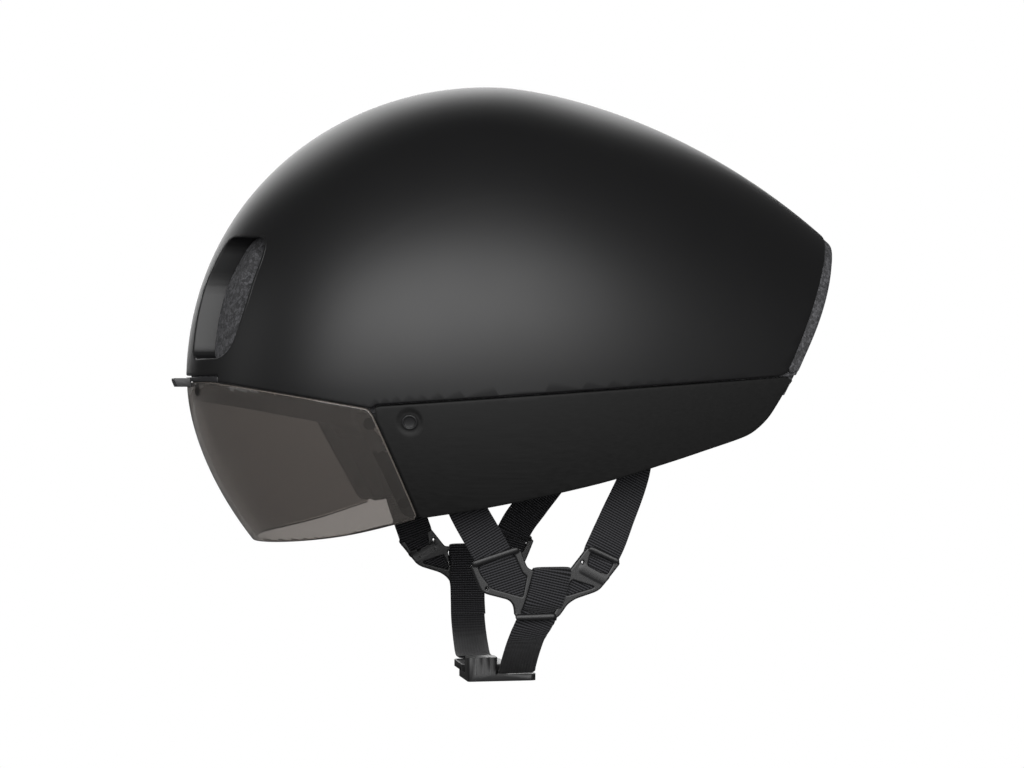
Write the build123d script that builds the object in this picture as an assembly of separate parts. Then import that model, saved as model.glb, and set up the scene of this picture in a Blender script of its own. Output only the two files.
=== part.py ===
from build123d import *
import math
import os

# Aero time trial helmet. Millimetres, +Z up, front towards -X, the wearer's left towards -Y.
# The origin is the head's centre at brow level.

# Outer form, measured from the head's centre
crown_height = 140.1
crown_station = 18.0
nose_reach = 143.5
tail_reach = 217.0
half_breadth = 104.0
breadth_level = 20.0
chin_depth = 138.0
nape_depth = 160.0
breadth_depth = 136.0
tail_narrowing_share = 0.30
nose_level_power = 2.09
nose_reach_power = 2.017
tail_level_power = 1.404
tail_reach_power = 1.704
under_power = 1.70

# Fan of sections that the form is lofted through, hinged below the form
fan_depth = 92.0
fan_core = 12.0
fan_sections = 13
arch_steps = 9
halving_steps = 60

# Walls and running clearances
shell_wall = 2.0
cover_wall = 2.0
lens_wall = 2.2
band_wall = 1.7
fit_gap = 0.3
seam_gap = 0.5
lens_inset = 0.4
overrun = 40.0

# Head and the space for it in the liner
head_half_length = 98.0
head_half_breadth = 78.0
head_top = 106.0
pad_room = 6.0

# Lines in the side view, as distances from the origin
brow_nose = (-125.5, 2.6)
brow_corner = (-52.0, -10.8)
seam_front = (-50.0, -9.3)
seam_tail = (147.0, 4.0)
cover_toe = (-28.5, -59.4)
cover_keel = ((6.0, -53.8), (51.0, -44.5), (82.0, -36.0), (104.0, -29.5), (119.0, -25.0))
cover_heel = ((126.0, -22.0), (133.0, -16.2), (138.0, -9.4), (142.5, -2.6))
lens_chin = ((-62.0, -68.0), (-98.0, -73.0), (-125.0, -74.5))
tail_cut = ((183.3, 78.0), (178.4, 71.0), (173.8, 62.6), (159.0, 33.3), (142.4, 4.6), (130.6, -16.0))
rim_reach = 6.2
liner_brow_drop = 9.0
liner_temple = (-44.0, -27.0)
liner_ear = (50.0, -24.0)
liner_nape = (96.0, -9.0)
liner_tail = (150.0, -4.5)

# Front vents, in the front view: distance from the middle and height
vent_outline = ((20.0, 66.5), (50.0, 65.5), (54.5, 57.0), (56.0, 35.0), (53.5, 18.0), (47.0, 11.5),
                (17.0, 11.5), (13.5, 45.0))
vent_corner = 4.0
vent_wall = 1.5
vent_depth = 9.5
duct_inner = 30.0
duct_outer = 50.0
duct_low = 43.0
duct_high = 63.0
duct_corner = 5.0

# Hollow of the tail and the ports from the head space into it
tail_rim = 11.0
tail_floor_level = 15.0
nape_wall = 20.0
port_middle = 26.0
port_level = 38.0
port_width = 26.0
port_height = 20.0
port_corner = 7.0

# Relief in the liner for the dial and its housing
relief_half_width = 50.0
relief_front = 86.0
relief_back = 131.0
relief_top = 6.0
rim_cover_wall = 1.6
rim_cover_front = 100.0
rim_cover_rear = 138.0
rim_cover_half_width = 60.0

# Ear cover flange under the shield's rear edge, its top lip and its stud
flange_reach = 7.0
flange_root = 5.0
flange_set_in = 1.5
web_width = 6.5
lip_height = 2.0
stud_station = -35.3
stud_level = -16.4
stud_radius = 3.3
stud_height = 1.1
stud_dish_share = 0.75
shank_radius = 1.7
seat_radius = 5.0
seat_depth = 0.7
boss_radius = 5.0
boss_height = 3.0
insert_radius = 3.6
insert_depth = 6.0

# Shield clip, its pull tab and the magnets
clip_half_span = 44.0
clip_height = 2.0
tab_half_width = 13.0
tab_reach = 6.2
tab_top = 2.7
tab_bottom = -1.3
tab_bevel = 1.2
magnet_radius = 2.6
magnet_height = 1.2
magnet_brow_offset = 22.0
magnet_brow_level = -2.6
magnet_spots = ((-52.5, -17.5), (-36.0, -52.5))

# Pads and the dots that hold them
pad_lift = 1.5
pad_thickness = 5.0
dot_radius = 8.0
dot_thickness = 0.9
brow_pad_span = 118.0
brow_pad_height = 24.0
brow_pad_level = 8.0
side_pad_length = 70.0
side_pad_height = 34.0
side_pad_station = 12.0
side_pad_level = 42.0
crown_pad_length = 92.0
crown_pad_width = 40.0
pad_corner = 10.0

# Webbing and the places that it runs to, for the left side and then the right
webbing_width = 17.0
webbing_thickness = 1.5
loop_shift_share = 0.05
loop_top_share = 0.12
strap_gap = 0.4
front_anchor = (-29.5, -9.0)
rear_anchor = (74.0, -3.0)
front_mid = (-6.0, 65.2, -54.0)
rear_bend = (78.0, -36.0)
rear_bend_depth = 2.4
wall_bow = 0.9
mid_follow_share = 0.6
divider_left = (33.0, 65.0, -91.0)
divider_right = (16.5, 65.0, -91.0)
anchor_length = 20.0
anchor_height = 11.0
anchor_thickness = 1.0

# Strap divider, as a plate seen from its own side
divider_width = 67.0
divider_height = 33.0
divider_thickness = 2.8
divider_outline_shares = ((-0.476, 0.300), (-0.188, 0.491), (-0.150, 0.470), (-0.107, 0.230), (0.161, 0.210),
                          (0.188, 0.180), (0.309, 0.476), (0.496, 0.327), (0.520, 0.255), (0.375, -0.094),
                          (0.215, -0.203), (0.161, -0.285), (0.100, -0.450), (0.050, -0.491), (-0.188, -0.491),
                          (-0.194, -0.285), (-0.228, -0.230), (-0.388, -0.109))
left_window_shares = ((-0.400, 0.210), (-0.190, 0.345), (-0.165, 0.130), (-0.235, -0.110), (-0.355, -0.030))
right_window_shares = ((0.235, 0.140), (0.335, 0.350), (0.445, 0.255), (0.345, -0.010), (0.240, -0.090))
loop_window_shares = ((-0.135, 0.130), (0.115, 0.110), (0.115, -0.220), (0.030, -0.385), (-0.135, -0.385))

# Chin straps and the buckle under the chin: its plates, their stations and what slides between them
chin_bow = 14.0
bow_level = -118.0
strap_station_left = 26.5
strap_station_right = 13.5
clasp_front = 3.5
clasp_width = 32.5
body_front = 3.0
body_width = 22.0
buckle_reach = 19.0
buckle_overlap = 8.0
plate_thickness = 3.2
body_level = -132.0
slot_width = 3.2
bar_width = 2.8
grip_width = 14.0
grip_length = 10.0
grip_height = 8.0
ridge_count = 3
ridge_width = 1.2
ridge_depth = 0.7
key_width = 5.0
key_height = 1.4
key_length = 16.0
key_setback = 4.0
seal_radius = 2.2
seal_height = 1.4
seal_offset = 5.2

# Retention cradle: yoke, height strip and its rail, housing, pinion, racks, arms and dial
cradle_level = -14.0
yoke_clearance = 1.2
yoke_wall = 1.8
yoke_height = 14.0
yoke_half_span = 24.0
foot_inner = 6.0
foot_outer = 15.0
rail_wall = 1.4
rail_low = 8.5
rail_high = 52.0
rail_mouth = 5.0
strip_width = 9.0
strip_thickness = 1.8
strip_top = 38.0
housing_half_span = 27.0
housing_height = 21.0
housing_depth = 6.6
housing_wall = 1.4
housing_corner = 2.0
boss_offset = 20.0
housing_boss_radius = 2.8
pinion_radius = 5.0
pinion_teeth = 12
pinion_width = 2.6
hub_radius = 3.0
tooth_half_depth = 0.5
tooth_clearance = 0.25
tooth_width_share = 0.42
tooth_slope_share = 0.36
rack_height = 2.75
rack_thickness = 2.0
rack_nose = 3.6
rack_teeth = 5
arm_straight = 36.0
arm_wall = 1.6
arm_height = 9.0
arm_tip = 30.0
arm_steps = 24
arm_lift = 0.4
arm_turn = ((102.0, 42.0), (93.0, 44.5), (84.5, 46.3))
arm_stations = (76.0, 60.0, 45.0)
dial_radius = 11.5
dial_depth = 7.0
dial_grips = 20
dial_grip_radius = 1.0
dial_screw_radius = 1.5
dial_screw_head = 3.0
dial_screw_sink = 2.0
screw_fill_share = 0.75
screw_radius = 1.2
screw_head = 2.2
screw_head_height = 1.2
nape_pad_inner = 3.0
nape_pad_outer = 20.0
nape_pad_height = 11.0
nape_pad_thickness = 2.2

lap_inset = lens_inset + lens_wall + fit_gap + band_wall + fit_gap + fit_gap
lens_seat = lens_inset + lens_wall + fit_gap
space_half_length = head_half_length + pad_room
space_half_breadth = head_half_breadth + pad_room
space_top = head_top + pad_room
span = half_breadth + overrun
left = -1
right = 1


def level_reaches(z, inset):
    """Front end, rear end and half breadth of the form's outline at height z."""
    height = crown_height - inset
    if z >= 0:
        rise = min(z / height, 1)
        front = (1 - rise**nose_level_power) ** (1 / nose_reach_power)
        rear = (1 - rise**tail_level_power) ** (1 / tail_reach_power)
    else:
        front = (1 - (-z / chin_depth) ** under_power) ** (1 / under_power)
        rear = (1 - (-z / nape_depth) ** under_power) ** (1 / under_power)
    if z >= breadth_level:
        side = math.sqrt(max(0, 1 - ((z - breadth_level) / (height - breadth_level)) ** 2))
    else:
        side = math.sqrt(1 - ((breadth_level - z) / breadth_depth) ** 2)
    front_end = crown_station - (nose_reach - inset) * front
    rear_end = crown_station + (tail_reach - inset) * rear
    return front_end, rear_end, (half_breadth - inset) * side


def half_width(x, z, inset=0):
    """Half width of the form at one place, or 0 outside it: an ellipse skewed to the crown's station."""
    if z >= crown_height - inset:
        return 0
    front_end, rear_end, side = level_reaches(z, inset)
    if not front_end < x < rear_end:
        return 0
    middle = (front_end + rear_end) / 2
    half = (rear_end - front_end) / 2
    skew = middle - crown_station
    root = math.sqrt(max(0, half**2 - 4 * skew * (middle - skew - x)))
    along = (root - half) / (2 * skew)
    along = max(-1, min(1, along))
    narrowing = 1 - tail_narrowing_share * ((1 + along) / 2) ** 3
    return side * math.sqrt(1 - along**2) * narrowing


def fan_point(angle, reach):
    """Place in the side view at a distance from the fan's hinge."""
    return crown_station + reach * math.cos(angle), reach * math.sin(angle) - fan_depth


def fan_reach(angle, inset):
    """Distance from the fan's hinge to the form's crown line along one section, by halving."""
    near = fan_core
    far = tail_reach + fan_depth
    for step in range(halving_steps):
        middle = (near + far) / 2
        if half_width(*fan_point(angle, middle), inset) > 0:
            near = middle
        else:
            far = middle
    return near


def fan_section(angle, inset):
    """Closed wire of one section of the form, from side to side over the crown line."""
    reach = fan_reach(angle, inset)
    points = []
    for step in range(-arch_steps, arch_steps + 1):
        along = fan_core + (reach - fan_core) * math.cos(math.pi / 2 * step / arch_steps)
        x, z = fan_point(angle, along)
        y = half_width(x, z, inset) if step else 0
        points.append(Vector(x, math.copysign(y, step), z))
    arch = Edge.make_spline(points, parameters=[step / (2 * arch_steps) for step in range(2 * arch_steps + 1)])
    return Wire([arch, Edge.make_line(points[-1], points[0])])


def helmet_form(inset):
    """The helmet's whole outer form, drawn in by an inset."""
    sections = [fan_section(math.pi * (1 - step / (fan_sections - 1)), inset) for step in range(fan_sections)]
    return Solid.make_loft(sections)


def side_prism(points, reach=span):
    """Prism over a polygon of the side view, through both sides."""
    face = Face(Wire.make_polygon([Vector(x, 0, z) for x, z in points]))
    return extrude(face, amount=reach, dir=(0, 1, 0), both=True)


def front_prism(face, near, far):
    """Prism over a face of the front view (its x is the helmet's y), between two stations."""
    return Pos(near, 0, 0) * extrude(Plane.YZ * face, amount=far - near)


def head_space(grow=0):
    """Space for the head: half an ellipsoid over an upright elliptic shaft."""
    length = space_half_length + grow
    breadth = space_half_breadth + grow
    dome = scale(Sphere(radius=1), by=(length, breadth, space_top + grow))
    shaft = extrude(Ellipse(length, breadth), amount=-span)
    below = Pos(0, 0, -span) * Box(2 * span, 2 * span, 2 * span)
    return (dome - below) + shaft


def space_half_width(x, grow=0):
    """Half width of the head space's shaft at one station."""
    return (space_half_breadth + grow) * math.sqrt(1 - (x / (space_half_length + grow)) ** 2)


def line_level(first, second, x):
    """Height at station x of the straight line through two places."""
    return first[1] + (second[1] - first[1]) * (x - first[0]) / (second[0] - first[0])


def form_plane(x, z, side, inset=0):
    """Plane on the form's surface with its z axis pointing outwards."""
    step = fit_gap
    y = half_width(x, z, inset)
    slope_x = (half_width(x + step, z, inset) - half_width(x - step, z, inset)) / (2 * step)
    slope_z = (half_width(x, z + step, inset) - half_width(x, z - step, inset)) / (2 * step)
    return Plane(origin=(x, side * y, z), x_dir=(1, side * slope_x, 0), z_dir=(-slope_x, side, -slope_z))


def other_side(shape):
    return mirror(shape, about=Plane.XZ)


def one_solid(shape):
    """The largest solid of a shape, without the slivers that a cut can leave."""
    return max(shape.solids(), key=lambda solid: solid.volume)


def brow_line(drop):
    """Lower edge of the shell, run on past nose and tail, lowered by a drop."""
    front = brow_nose[0] - overrun
    rear = seam_tail[0] + 2 * overrun
    return [(front, line_level(brow_nose, brow_corner, front) - drop), (brow_corner[0], brow_corner[1] - drop),
            (seam_front[0], seam_front[1] - drop), (rear, line_level(seam_front, seam_tail, rear) - drop)]


def above(line):
    """Side view region over a line that runs from front to rear."""
    return side_prism(line + [(line[-1][0], crown_height + overrun), (line[0][0], crown_height + overrun)])


def tail_region(reach):
    """Everything in front of the tail's cut, moved back by a reach."""
    top, bottom = tail_cut[0], tail_cut[-1]
    slope_top = (top[0] + overrun, crown_height + overrun)
    cut = Spline([(x + reach, z) for x, z in tail_cut])
    front = -nose_reach - overrun
    edges = [cut,
             Polyline((bottom[0] + reach, bottom[1]), (bottom[0] + reach, -span), (front, -span),
                      (front, slope_top[1]), slope_top, (top[0] + reach, top[1]))]
    return extrude(Plane.XZ * make_face(Curve() + edges), amount=span, both=True)


def vent_prism(grow, near, far, side):
    """Prism of one vent's outline, grown by a wall, along the helmet."""
    outline = make_face(Polyline(*[(side * y, z) for y, z in vent_outline], close=True))
    outline = fillet(outline.vertices(), vent_corner)
    if grow:
        outline = offset(outline, grow)
    return front_prism(outline, near, far)


print("forms")
outer_form = helmet_form(0)
shell_void = helmet_form(shell_wall)
liner_form = helmet_form(shell_wall + fit_gap)
lap_form = helmet_form(lap_inset)
lens_outer = helmet_form(lens_inset)
lens_void = helmet_form(lens_inset + lens_wall)
seat_form = helmet_form(lens_seat)
seat_void = helmet_form(lens_seat + band_wall)
vent_floor = helmet_form(vent_depth)
vent_front = -nose_reach
vent_back = -space_half_length / 2


def outer_shell():
    """Skin above the brow and seam lines, with the vents' walls turned in."""
    shell = (outer_form - shell_void) & above(brow_line(0)) & tail_region(0)
    for side in (left, right):
        shell -= vent_prism(0, vent_front, vent_back, side)
        wall = vent_prism(vent_wall, vent_front, vent_back, side) - vent_prism(0, vent_front, vent_back, side)
        shell += (wall & lens_outer) - vent_floor
    shell -= clip_zone(seam_gap)
    return one_solid(shell)


def clip_zone(gap):
    """Front view block that the shield's clip fills, with a gap on its ends and top."""
    floor = line_level(brow_nose, brow_corner, brow_nose[0]) - seam_gap - clip_height / 2
    top = floor + clip_height + gap
    half = clip_half_span + gap
    face = Pos(0, (floor + top) / 2) * Rectangle(2 * half, top - floor)
    return front_prism(face, -nose_reach, -space_half_length / 2)


def liner_line():
    """Lower edge of the foam liner from nose to tail."""
    front = brow_nose[0] - overrun
    rear = liner_tail[0] + overrun
    return [(front, line_level(brow_nose, brow_corner, front) - liner_brow_drop),
            (brow_corner[0], brow_corner[1] - liner_brow_drop), liner_temple, liner_ear, liner_nape, liner_tail,
            (rear, liner_tail[1])]


def tail_hollow():
    """Hollow behind the head that lets the air out, and the ports into it."""
    hollow = helmet_form(tail_rim) & (Pos(span / 2 + space_half_length / 2, 0, tail_floor_level + span / 2)
                                      * Box(span + tail_reach, 2 * span, span))
    hollow = hollow - head_space(nape_wall)
    hollow = max(hollow.solids(), key=lambda solid: solid.center().X)
    port = RectangleRounded(port_width, port_height, port_corner)
    for side in (left, right):
        hollow += front_prism(Pos(side * port_middle, port_level) * port, space_half_length / 2,
                              space_half_length + nape_wall)
    return hollow


def dial_relief(gap=0):
    """Block of the nape that the dial's housing moves in."""
    length = relief_back - relief_front
    height = relief_top + span
    return Pos(relief_front + length / 2, 0, relief_top - height / 2) * Box(length, 2 * relief_half_width, height)


def foam_liner():
    """Foam between shell and head, with vents, ducts and the tail's hollow."""
    liner = liner_form & above(liner_line()) & tail_region(rim_reach)
    below = side_prism(brow_line(0) + [(span + tail_reach, -span), (-span - nose_reach, -span)])
    liner -= below - lap_form
    liner -= head_space()
    liner -= tail_hollow()
    duct = RectangleRounded(duct_outer - duct_inner, duct_high - duct_low, duct_corner)
    for side in (left, right):
        liner -= vent_prism(vent_wall + fit_gap, vent_front, vent_back, side) - vent_floor
        place = Pos(side * (duct_inner + duct_outer) / 2, (duct_low + duct_high) / 2)
        liner -= front_prism(place * duct, vent_front, -space_half_length / 4)
        liner -= insert_body(side, fit_gap)
    liner -= dial_relief()
    liner -= rail_block(fit_gap)
    return one_solid(liner)


def strip_station():
    """Station of the height strip's front face, just behind the yoke."""
    return head_half_length + yoke_clearance + yoke_wall + fit_gap


def rail_block(gap):
    """Outer block of the height rail, run forwards into the head space where a gap is cut for it."""
    front = strip_station() - fit_gap - rail_wall
    depth = strip_thickness + 2 * fit_gap + 2 * rail_wall
    width = strip_width + 2 * fit_gap + 2 * rail_wall + 2 * gap
    height = rail_high - rail_low + 2 * gap
    reach = overrun if gap else 0
    block = Box(depth + gap + reach, width, height)
    return Pos(front + (depth + gap - reach) / 2, 0, (rail_high + rail_low) / 2) * block


def insert_body(side, gap):
    """Snap insert in the foam behind a cover stud, or with a gap its pocket, open outwards."""
    plane = form_plane(stud_station, stud_level, side)
    mouth = lap_inset if gap else 0
    length = insert_depth + gap + mouth
    return plane * Pos(0, 0, mouth - lap_inset - length / 2) * Cylinder(insert_radius + gap, length)


def flange_strip():
    """Side view strip along the cover's front edge, set in from both ends of it."""
    top = (brow_corner[0], brow_corner[1] - seam_gap - flange_set_in)
    toe = (cover_toe[0], cover_toe[1] + flange_set_in)
    return [(top[0] - flange_reach, top[1]), (top[0] + flange_root, top[1]), (toe[0] + flange_root, toe[1]),
            (toe[0] - flange_reach, toe[1])]


def cover_hollow():
    """Side view outline of the hollow behind the panel, under its lip and behind its web, open below."""
    front = brow_corner[0] + web_width
    rear = seam_tail[0] + overrun
    drop = seam_gap + lip_height
    return [(front, line_level(seam_front, seam_tail, front) - drop), (cover_toe[0] + web_width, cover_toe[1]),
            (cover_toe[0] + web_width, -span), (rear, -span), (rear, line_level(seam_front, seam_tail, rear) - drop)]


def cover_region():
    """Side view outline of an ear cover."""
    front = (brow_corner[0] + seam_gap, brow_corner[1] - seam_gap)
    top_front = (seam_front[0] + seam_gap, seam_front[1] - seam_gap)
    top_rear = (seam_tail[0], seam_tail[1] - seam_gap)
    return [top_front, front, cover_toe, *cover_keel, *cover_heel, top_rear]


def ear_cover_left():
    """Cover panel with the flange under the shield's edge, a top lip and the stud's boss."""
    half = Pos(0, -span / 2, 0) * Box(4 * span, span, 4 * span)
    slab = (outer_form - helmet_form(lap_inset - fit_gap)) & side_prism(cover_region())
    slab -= shell_void & side_prism(cover_hollow())
    flange = (seat_form - seat_void) & side_prism(flange_strip())
    plane = form_plane(stud_station, stud_level, left)
    boss = plane * Pos(0, 0, -cover_wall / 2 - boss_height / 2) * Cylinder(boss_radius, boss_height)
    cover = ((slab + flange) & half) + boss
    cover -= plane * Cone(seat_radius - seat_depth, seat_radius + seat_depth, 2 * seat_depth)
    cover -= plane * Cylinder(shank_radius + fit_gap / 2, 4 * lap_inset)
    for x, z in magnet_spots:
        cover -= form_plane(x, z, left) * Pos(0, 0, -lens_seat) * Cylinder(magnet_radius, 2 * magnet_height)
    return one_solid(cover)


def cover_stud(side):
    """Round cap with a raised rim and a shank into the insert."""
    plane = form_plane(stud_station, stud_level, side)
    cap = Pos(0, 0, stud_height / 2 - seat_depth / 2) * Cylinder(stud_radius, stud_height + seat_depth)
    cap -= Pos(0, 0, stud_height) * Cylinder(stud_radius * stud_dish_share, stud_height)
    shank_length = lap_inset + insert_depth / 2
    shank = Pos(0, 0, -seat_depth - shank_length / 2) * Cylinder(shank_radius, shank_length)
    return plane * (cap + shank)


def shield_lens():
    """Smoke lens from brow to chin and round to both covers."""
    front = brow_nose[0] - overrun
    top = [(front, line_level(brow_nose, brow_corner, front) - seam_gap),
           (brow_corner[0] - seam_gap, brow_corner[1] - seam_gap / 2)]
    toe = (cover_toe[0] - 2 * seam_gap, cover_toe[1])
    chin = Spline([toe, *lens_chin])
    edges = [Polyline(lens_chin[-1], (front, lens_chin[-1][1]), top[0], top[1], toe), chin]
    region = extrude(Plane.XZ * make_face(Curve() + edges), amount=span, both=True)
    lens = (lens_outer - lens_void) & region
    lens -= clip_zone(0)
    for plane in disc_planes():
        lens -= plane * Pos(0, 0, -lens_inset - lens_wall) * Cylinder(magnet_radius, 2 * magnet_height)
    return one_solid(lens)


def disc_planes():
    """Planes on the form over each magnet: two at each rear edge and two at the brow."""
    planes = [form_plane(x, z, side) for side in (left, right) for x, z in magnet_spots]
    for side in (left, right):
        front = brow_station(magnet_brow_offset, magnet_brow_level)
        nearer = brow_station(magnet_brow_offset - fit_gap, magnet_brow_level)
        lean = (front - nearer) / fit_gap
        planes.append(Plane(origin=(front, side * magnet_brow_offset, magnet_brow_level),
                            x_dir=(lean, side, 0), z_dir=(-1, side * lean, 0)))
    return planes


def brow_station(y, z, inset=0):
    """Station of the form's front at a distance from the middle, by halving."""
    near = crown_station
    far = -nose_reach
    for step in range(halving_steps):
        middle = (near + far) / 2
        if half_width(middle, z, inset) > y:
            near = middle
        else:
            far = middle
    return near


def shield_discs():
    """Steel discs in the back of the lens."""
    depth = lens_inset + lens_wall - magnet_height / 2
    return [plane * Pos(0, 0, -depth) * Cylinder(magnet_radius, magnet_height) for plane in disc_planes()]


def shield_magnets():
    """Magnets in the covers' flanges and the brow band, behind the discs."""
    depth = lens_seat + magnet_height / 2
    return [plane * Pos(0, 0, -depth) * Cylinder(magnet_radius, magnet_height) for plane in disc_planes()]


def shield_clip():
    """Bar over the lens's top edge and the tab that pulls the shield off."""
    bar = (outer_form - shell_void) & clip_zone(0)
    front = brow_nose[0]
    tip = front - tab_reach
    profile = [(front + lens_wall, tab_top), (tip, tab_top), (tip, tab_top - tab_bevel),
               (tip + tab_bevel, tab_bottom), (front + lens_wall, tab_bottom)]
    tab = side_prism(profile, tab_half_width) - lens_outer
    return one_solid(bar + tab)


def brow_band():
    """Plastic band under the lens's top edge, between the two covers."""
    front = brow_nose[0] - overrun
    rear = brow_corner[0] - flange_reach - seam_gap
    top = line_level(brow_nose, brow_corner, front) - fit_gap
    region = side_prism([(front, top), (rear, line_level(brow_nose, brow_corner, rear) - fit_gap),
                         (rear, line_level(brow_nose, brow_corner, rear) - liner_brow_drop),
                         (front, top - liner_brow_drop + fit_gap)])
    band = (seat_form - seat_void) & region
    for plane in disc_planes()[-2:]:
        band -= plane * Pos(0, 0, -lens_seat) * Cylinder(magnet_radius, 2 * magnet_height)
    return one_solid(band)


def tail_rim_cover():
    """Thin cover under the tail's foam, cut round the dial's relief."""
    rear = rim_cover_rear
    line = [(rim_cover_front, line_level(liner_nape, liner_tail, rim_cover_front) - fit_gap),
            (rear, line_level(liner_nape, liner_tail, rear) - fit_gap)]
    region = side_prism(line + [(rear, line[1][1] - rim_cover_wall), (rim_cover_front, line[0][1] - rim_cover_wall)])
    cover = lap_form & region & (Box(4 * span, 2 * rim_cover_half_width, 4 * span))
    cover -= head_space(fit_gap)
    cover -= dial_relief()
    return one_solid(cover)


def pad(prism, lift, thickness):
    """Slice of a lining layer of the head space inside a prism."""
    return one_solid((head_space(-lift) - head_space(-lift - thickness)) & prism)


def brow_pad_prism():
    face = Pos(0, brow_pad_level) * RectangleRounded(brow_pad_span, brow_pad_height, pad_corner)
    return front_prism(face, -space_half_length, 0)


def side_pad_prism(side):
    face = Pos(side_pad_station, side_pad_level) * RectangleRounded(side_pad_length, side_pad_height, pad_corner)
    prism = extrude(Plane.XZ * face, amount=space_half_breadth)
    return prism if side == left else other_side(prism)


def crown_pad_prism():
    return extrude(RectangleRounded(crown_pad_length, crown_pad_width, pad_corner), amount=space_top)


def pad_dots():
    """Hook and loop dots between the pads and the foam."""
    layer = head_space(-fit_gap) - head_space(-fit_gap - dot_thickness)
    spot = Circle(dot_radius)
    prisms = []
    for side in (left, right):
        prisms.append(front_prism(Pos(side * brow_pad_span / 4, brow_pad_level) * spot, -space_half_length, 0))
        for end in (left, right):
            place = Pos(side_pad_station + end * side_pad_length / 4, side_pad_level)
            prism = extrude(Plane.XZ * (place * spot), amount=space_half_breadth)
            prisms.append(prism if side == left else other_side(prism))
        prisms.append(extrude(Pos(side * crown_pad_length / 4, 0) * spot, amount=space_top))
    return [one_solid(layer & prism) for prism in prisms]


def ribbon(stations, straight=False):
    """Webbing through stations of place, across direction and along direction, in straight runs or one curve."""
    wires = []
    for place, across, along in stations:
        plane = Plane(origin=place, x_dir=across, z_dir=along)
        wires.append((plane * Rectangle(webbing_width, webbing_thickness)).face().outer_wire())
    return Solid.make_loft(wires, straight)


def outward(side, place):
    return (place[0], side * place[1], place[2])


def strap_across(x, side):
    """Direction of a strap's width where it lies against the head space's wall."""
    slope = (space_half_width(x + fit_gap) - space_half_width(x - fit_gap)) / (2 * fit_gap)
    return Vector(1, side * slope, 0)


def wall_place(side, anchor, depth):
    """Place inside the head space's shaft at a depth from its wall."""
    x, z = anchor
    y = space_half_width(x)
    inward = Vector(-x / space_half_length**2, -y / space_half_breadth**2, 0).normalized() * depth
    return Vector(x + inward.X, side * (y + inward.Y), z)


def strap(side, anchor, mid, lobe):
    """One strap from its anchor, by a middle place, to the back of a divider's window."""
    lining = fit_gap + anchor_thickness + strap_gap + wall_bow + webbing_thickness / 2
    start = wall_place(side, (anchor[0], anchor[1] + anchor_height / 2), lining)
    along_wall = (mid - start).normalized()
    down = (lobe - mid).normalized()
    end = lobe + down * divider_height / 4
    across_wall = strap_across(anchor[0], side).normalized()
    across_end = Vector(1, 0, 0)
    bend = (along_wall + down).normalized()
    across_mid = (strap_across(mid.X, side).normalized() + across_wall).normalized()
    return ribbon([(start, square(across_wall, along_wall), along_wall),
                   (mid, square(across_mid, bend), bend),
                   (end, square(across_end, down), down)], straight=True)


def square(across, along):
    """Across direction made square to the along direction."""
    return (across - along * across.dot(along)).normalized()


def divider_plane(side):
    """Plane of a divider's plate, facing outwards."""
    place = divider_left if side == left else divider_right
    return Plane(origin=outward(side, place), x_dir=(1, 0, 0), z_dir=(0, -1, 0))


def share_face(shares, corner):
    face = make_face(Polyline(*[(x * divider_width, z * divider_height) for x, z in shares], close=True))
    return fillet(face.vertices(), corner)


def strap_divider(side):
    """Plate with a window for each strap and a loop with a bottom bar."""
    plate = share_face(divider_outline_shares, strap_gap)
    for shares in (left_window_shares, right_window_shares, loop_window_shares):
        plate -= share_face(shares, strap_gap)
    body = extrude(plate, amount=divider_thickness / 2, both=True)
    body = fillet_edges(body, strap_gap)
    return divider_plane(side) * body


def fillet_edges(body, radius):
    """Round both rims of a plate where the wall allows it."""
    rims = body.faces().sort_by(Axis.Z)[0].edges() + body.faces().sort_by(Axis.Z)[-1].edges()
    return fillet(rims, radius)


def strap_end(side, shares):
    """Where a strap ends: behind the plate, towards the head."""
    depth = divider_thickness + webbing_thickness + strap_gap
    x = sum(point[0] for point in shares) / len(shares) * divider_width
    z = sum(point[1] for point in shares) / len(shares) * divider_height
    origin = divider_plane(side).origin
    return Vector(origin.X + x, origin.Y - side * depth, origin.Z + z)


def follow(side):
    """Distance that a strap's middle moves along with its side's divider."""
    return (divider_right[0] - divider_left[0]) * mid_follow_share if side == right else 0


def front_strap(side):
    x, y, z = front_mid
    return strap(side, front_anchor, Vector(x + follow(side), side * y, z), strap_end(side, left_window_shares))


def rear_strap(side):
    x, z = rear_bend
    mid = wall_place(side, (x + follow(side), z), rear_bend_depth)
    return strap(side, rear_anchor, mid, strap_end(side, right_window_shares))


def strap_anchor(side, anchor):
    """Anchor plate between a strap's top and the foam."""
    prism_face = Pos(*anchor) * RectangleRounded(anchor_length, anchor_height, 2 * anchor_thickness)
    prism = extrude(Plane.XZ * prism_face, amount=space_half_breadth)
    length = space_half_length - fit_gap
    breadth = space_half_breadth - fit_gap
    ring = Ellipse(length, breadth) - Ellipse(length - anchor_thickness, breadth - anchor_thickness)
    layer = Pos(0, 0, anchor[1] - anchor_height) * extrude(ring, amount=2 * anchor_height)
    plate = one_solid(layer & prism)
    return plate if side == left else other_side(plate)


def plate_top(side):
    """Height of the top face of a buckle half: the far half lies on the near one."""
    return body_level if side == right else body_level - plate_thickness - fit_gap


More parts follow.
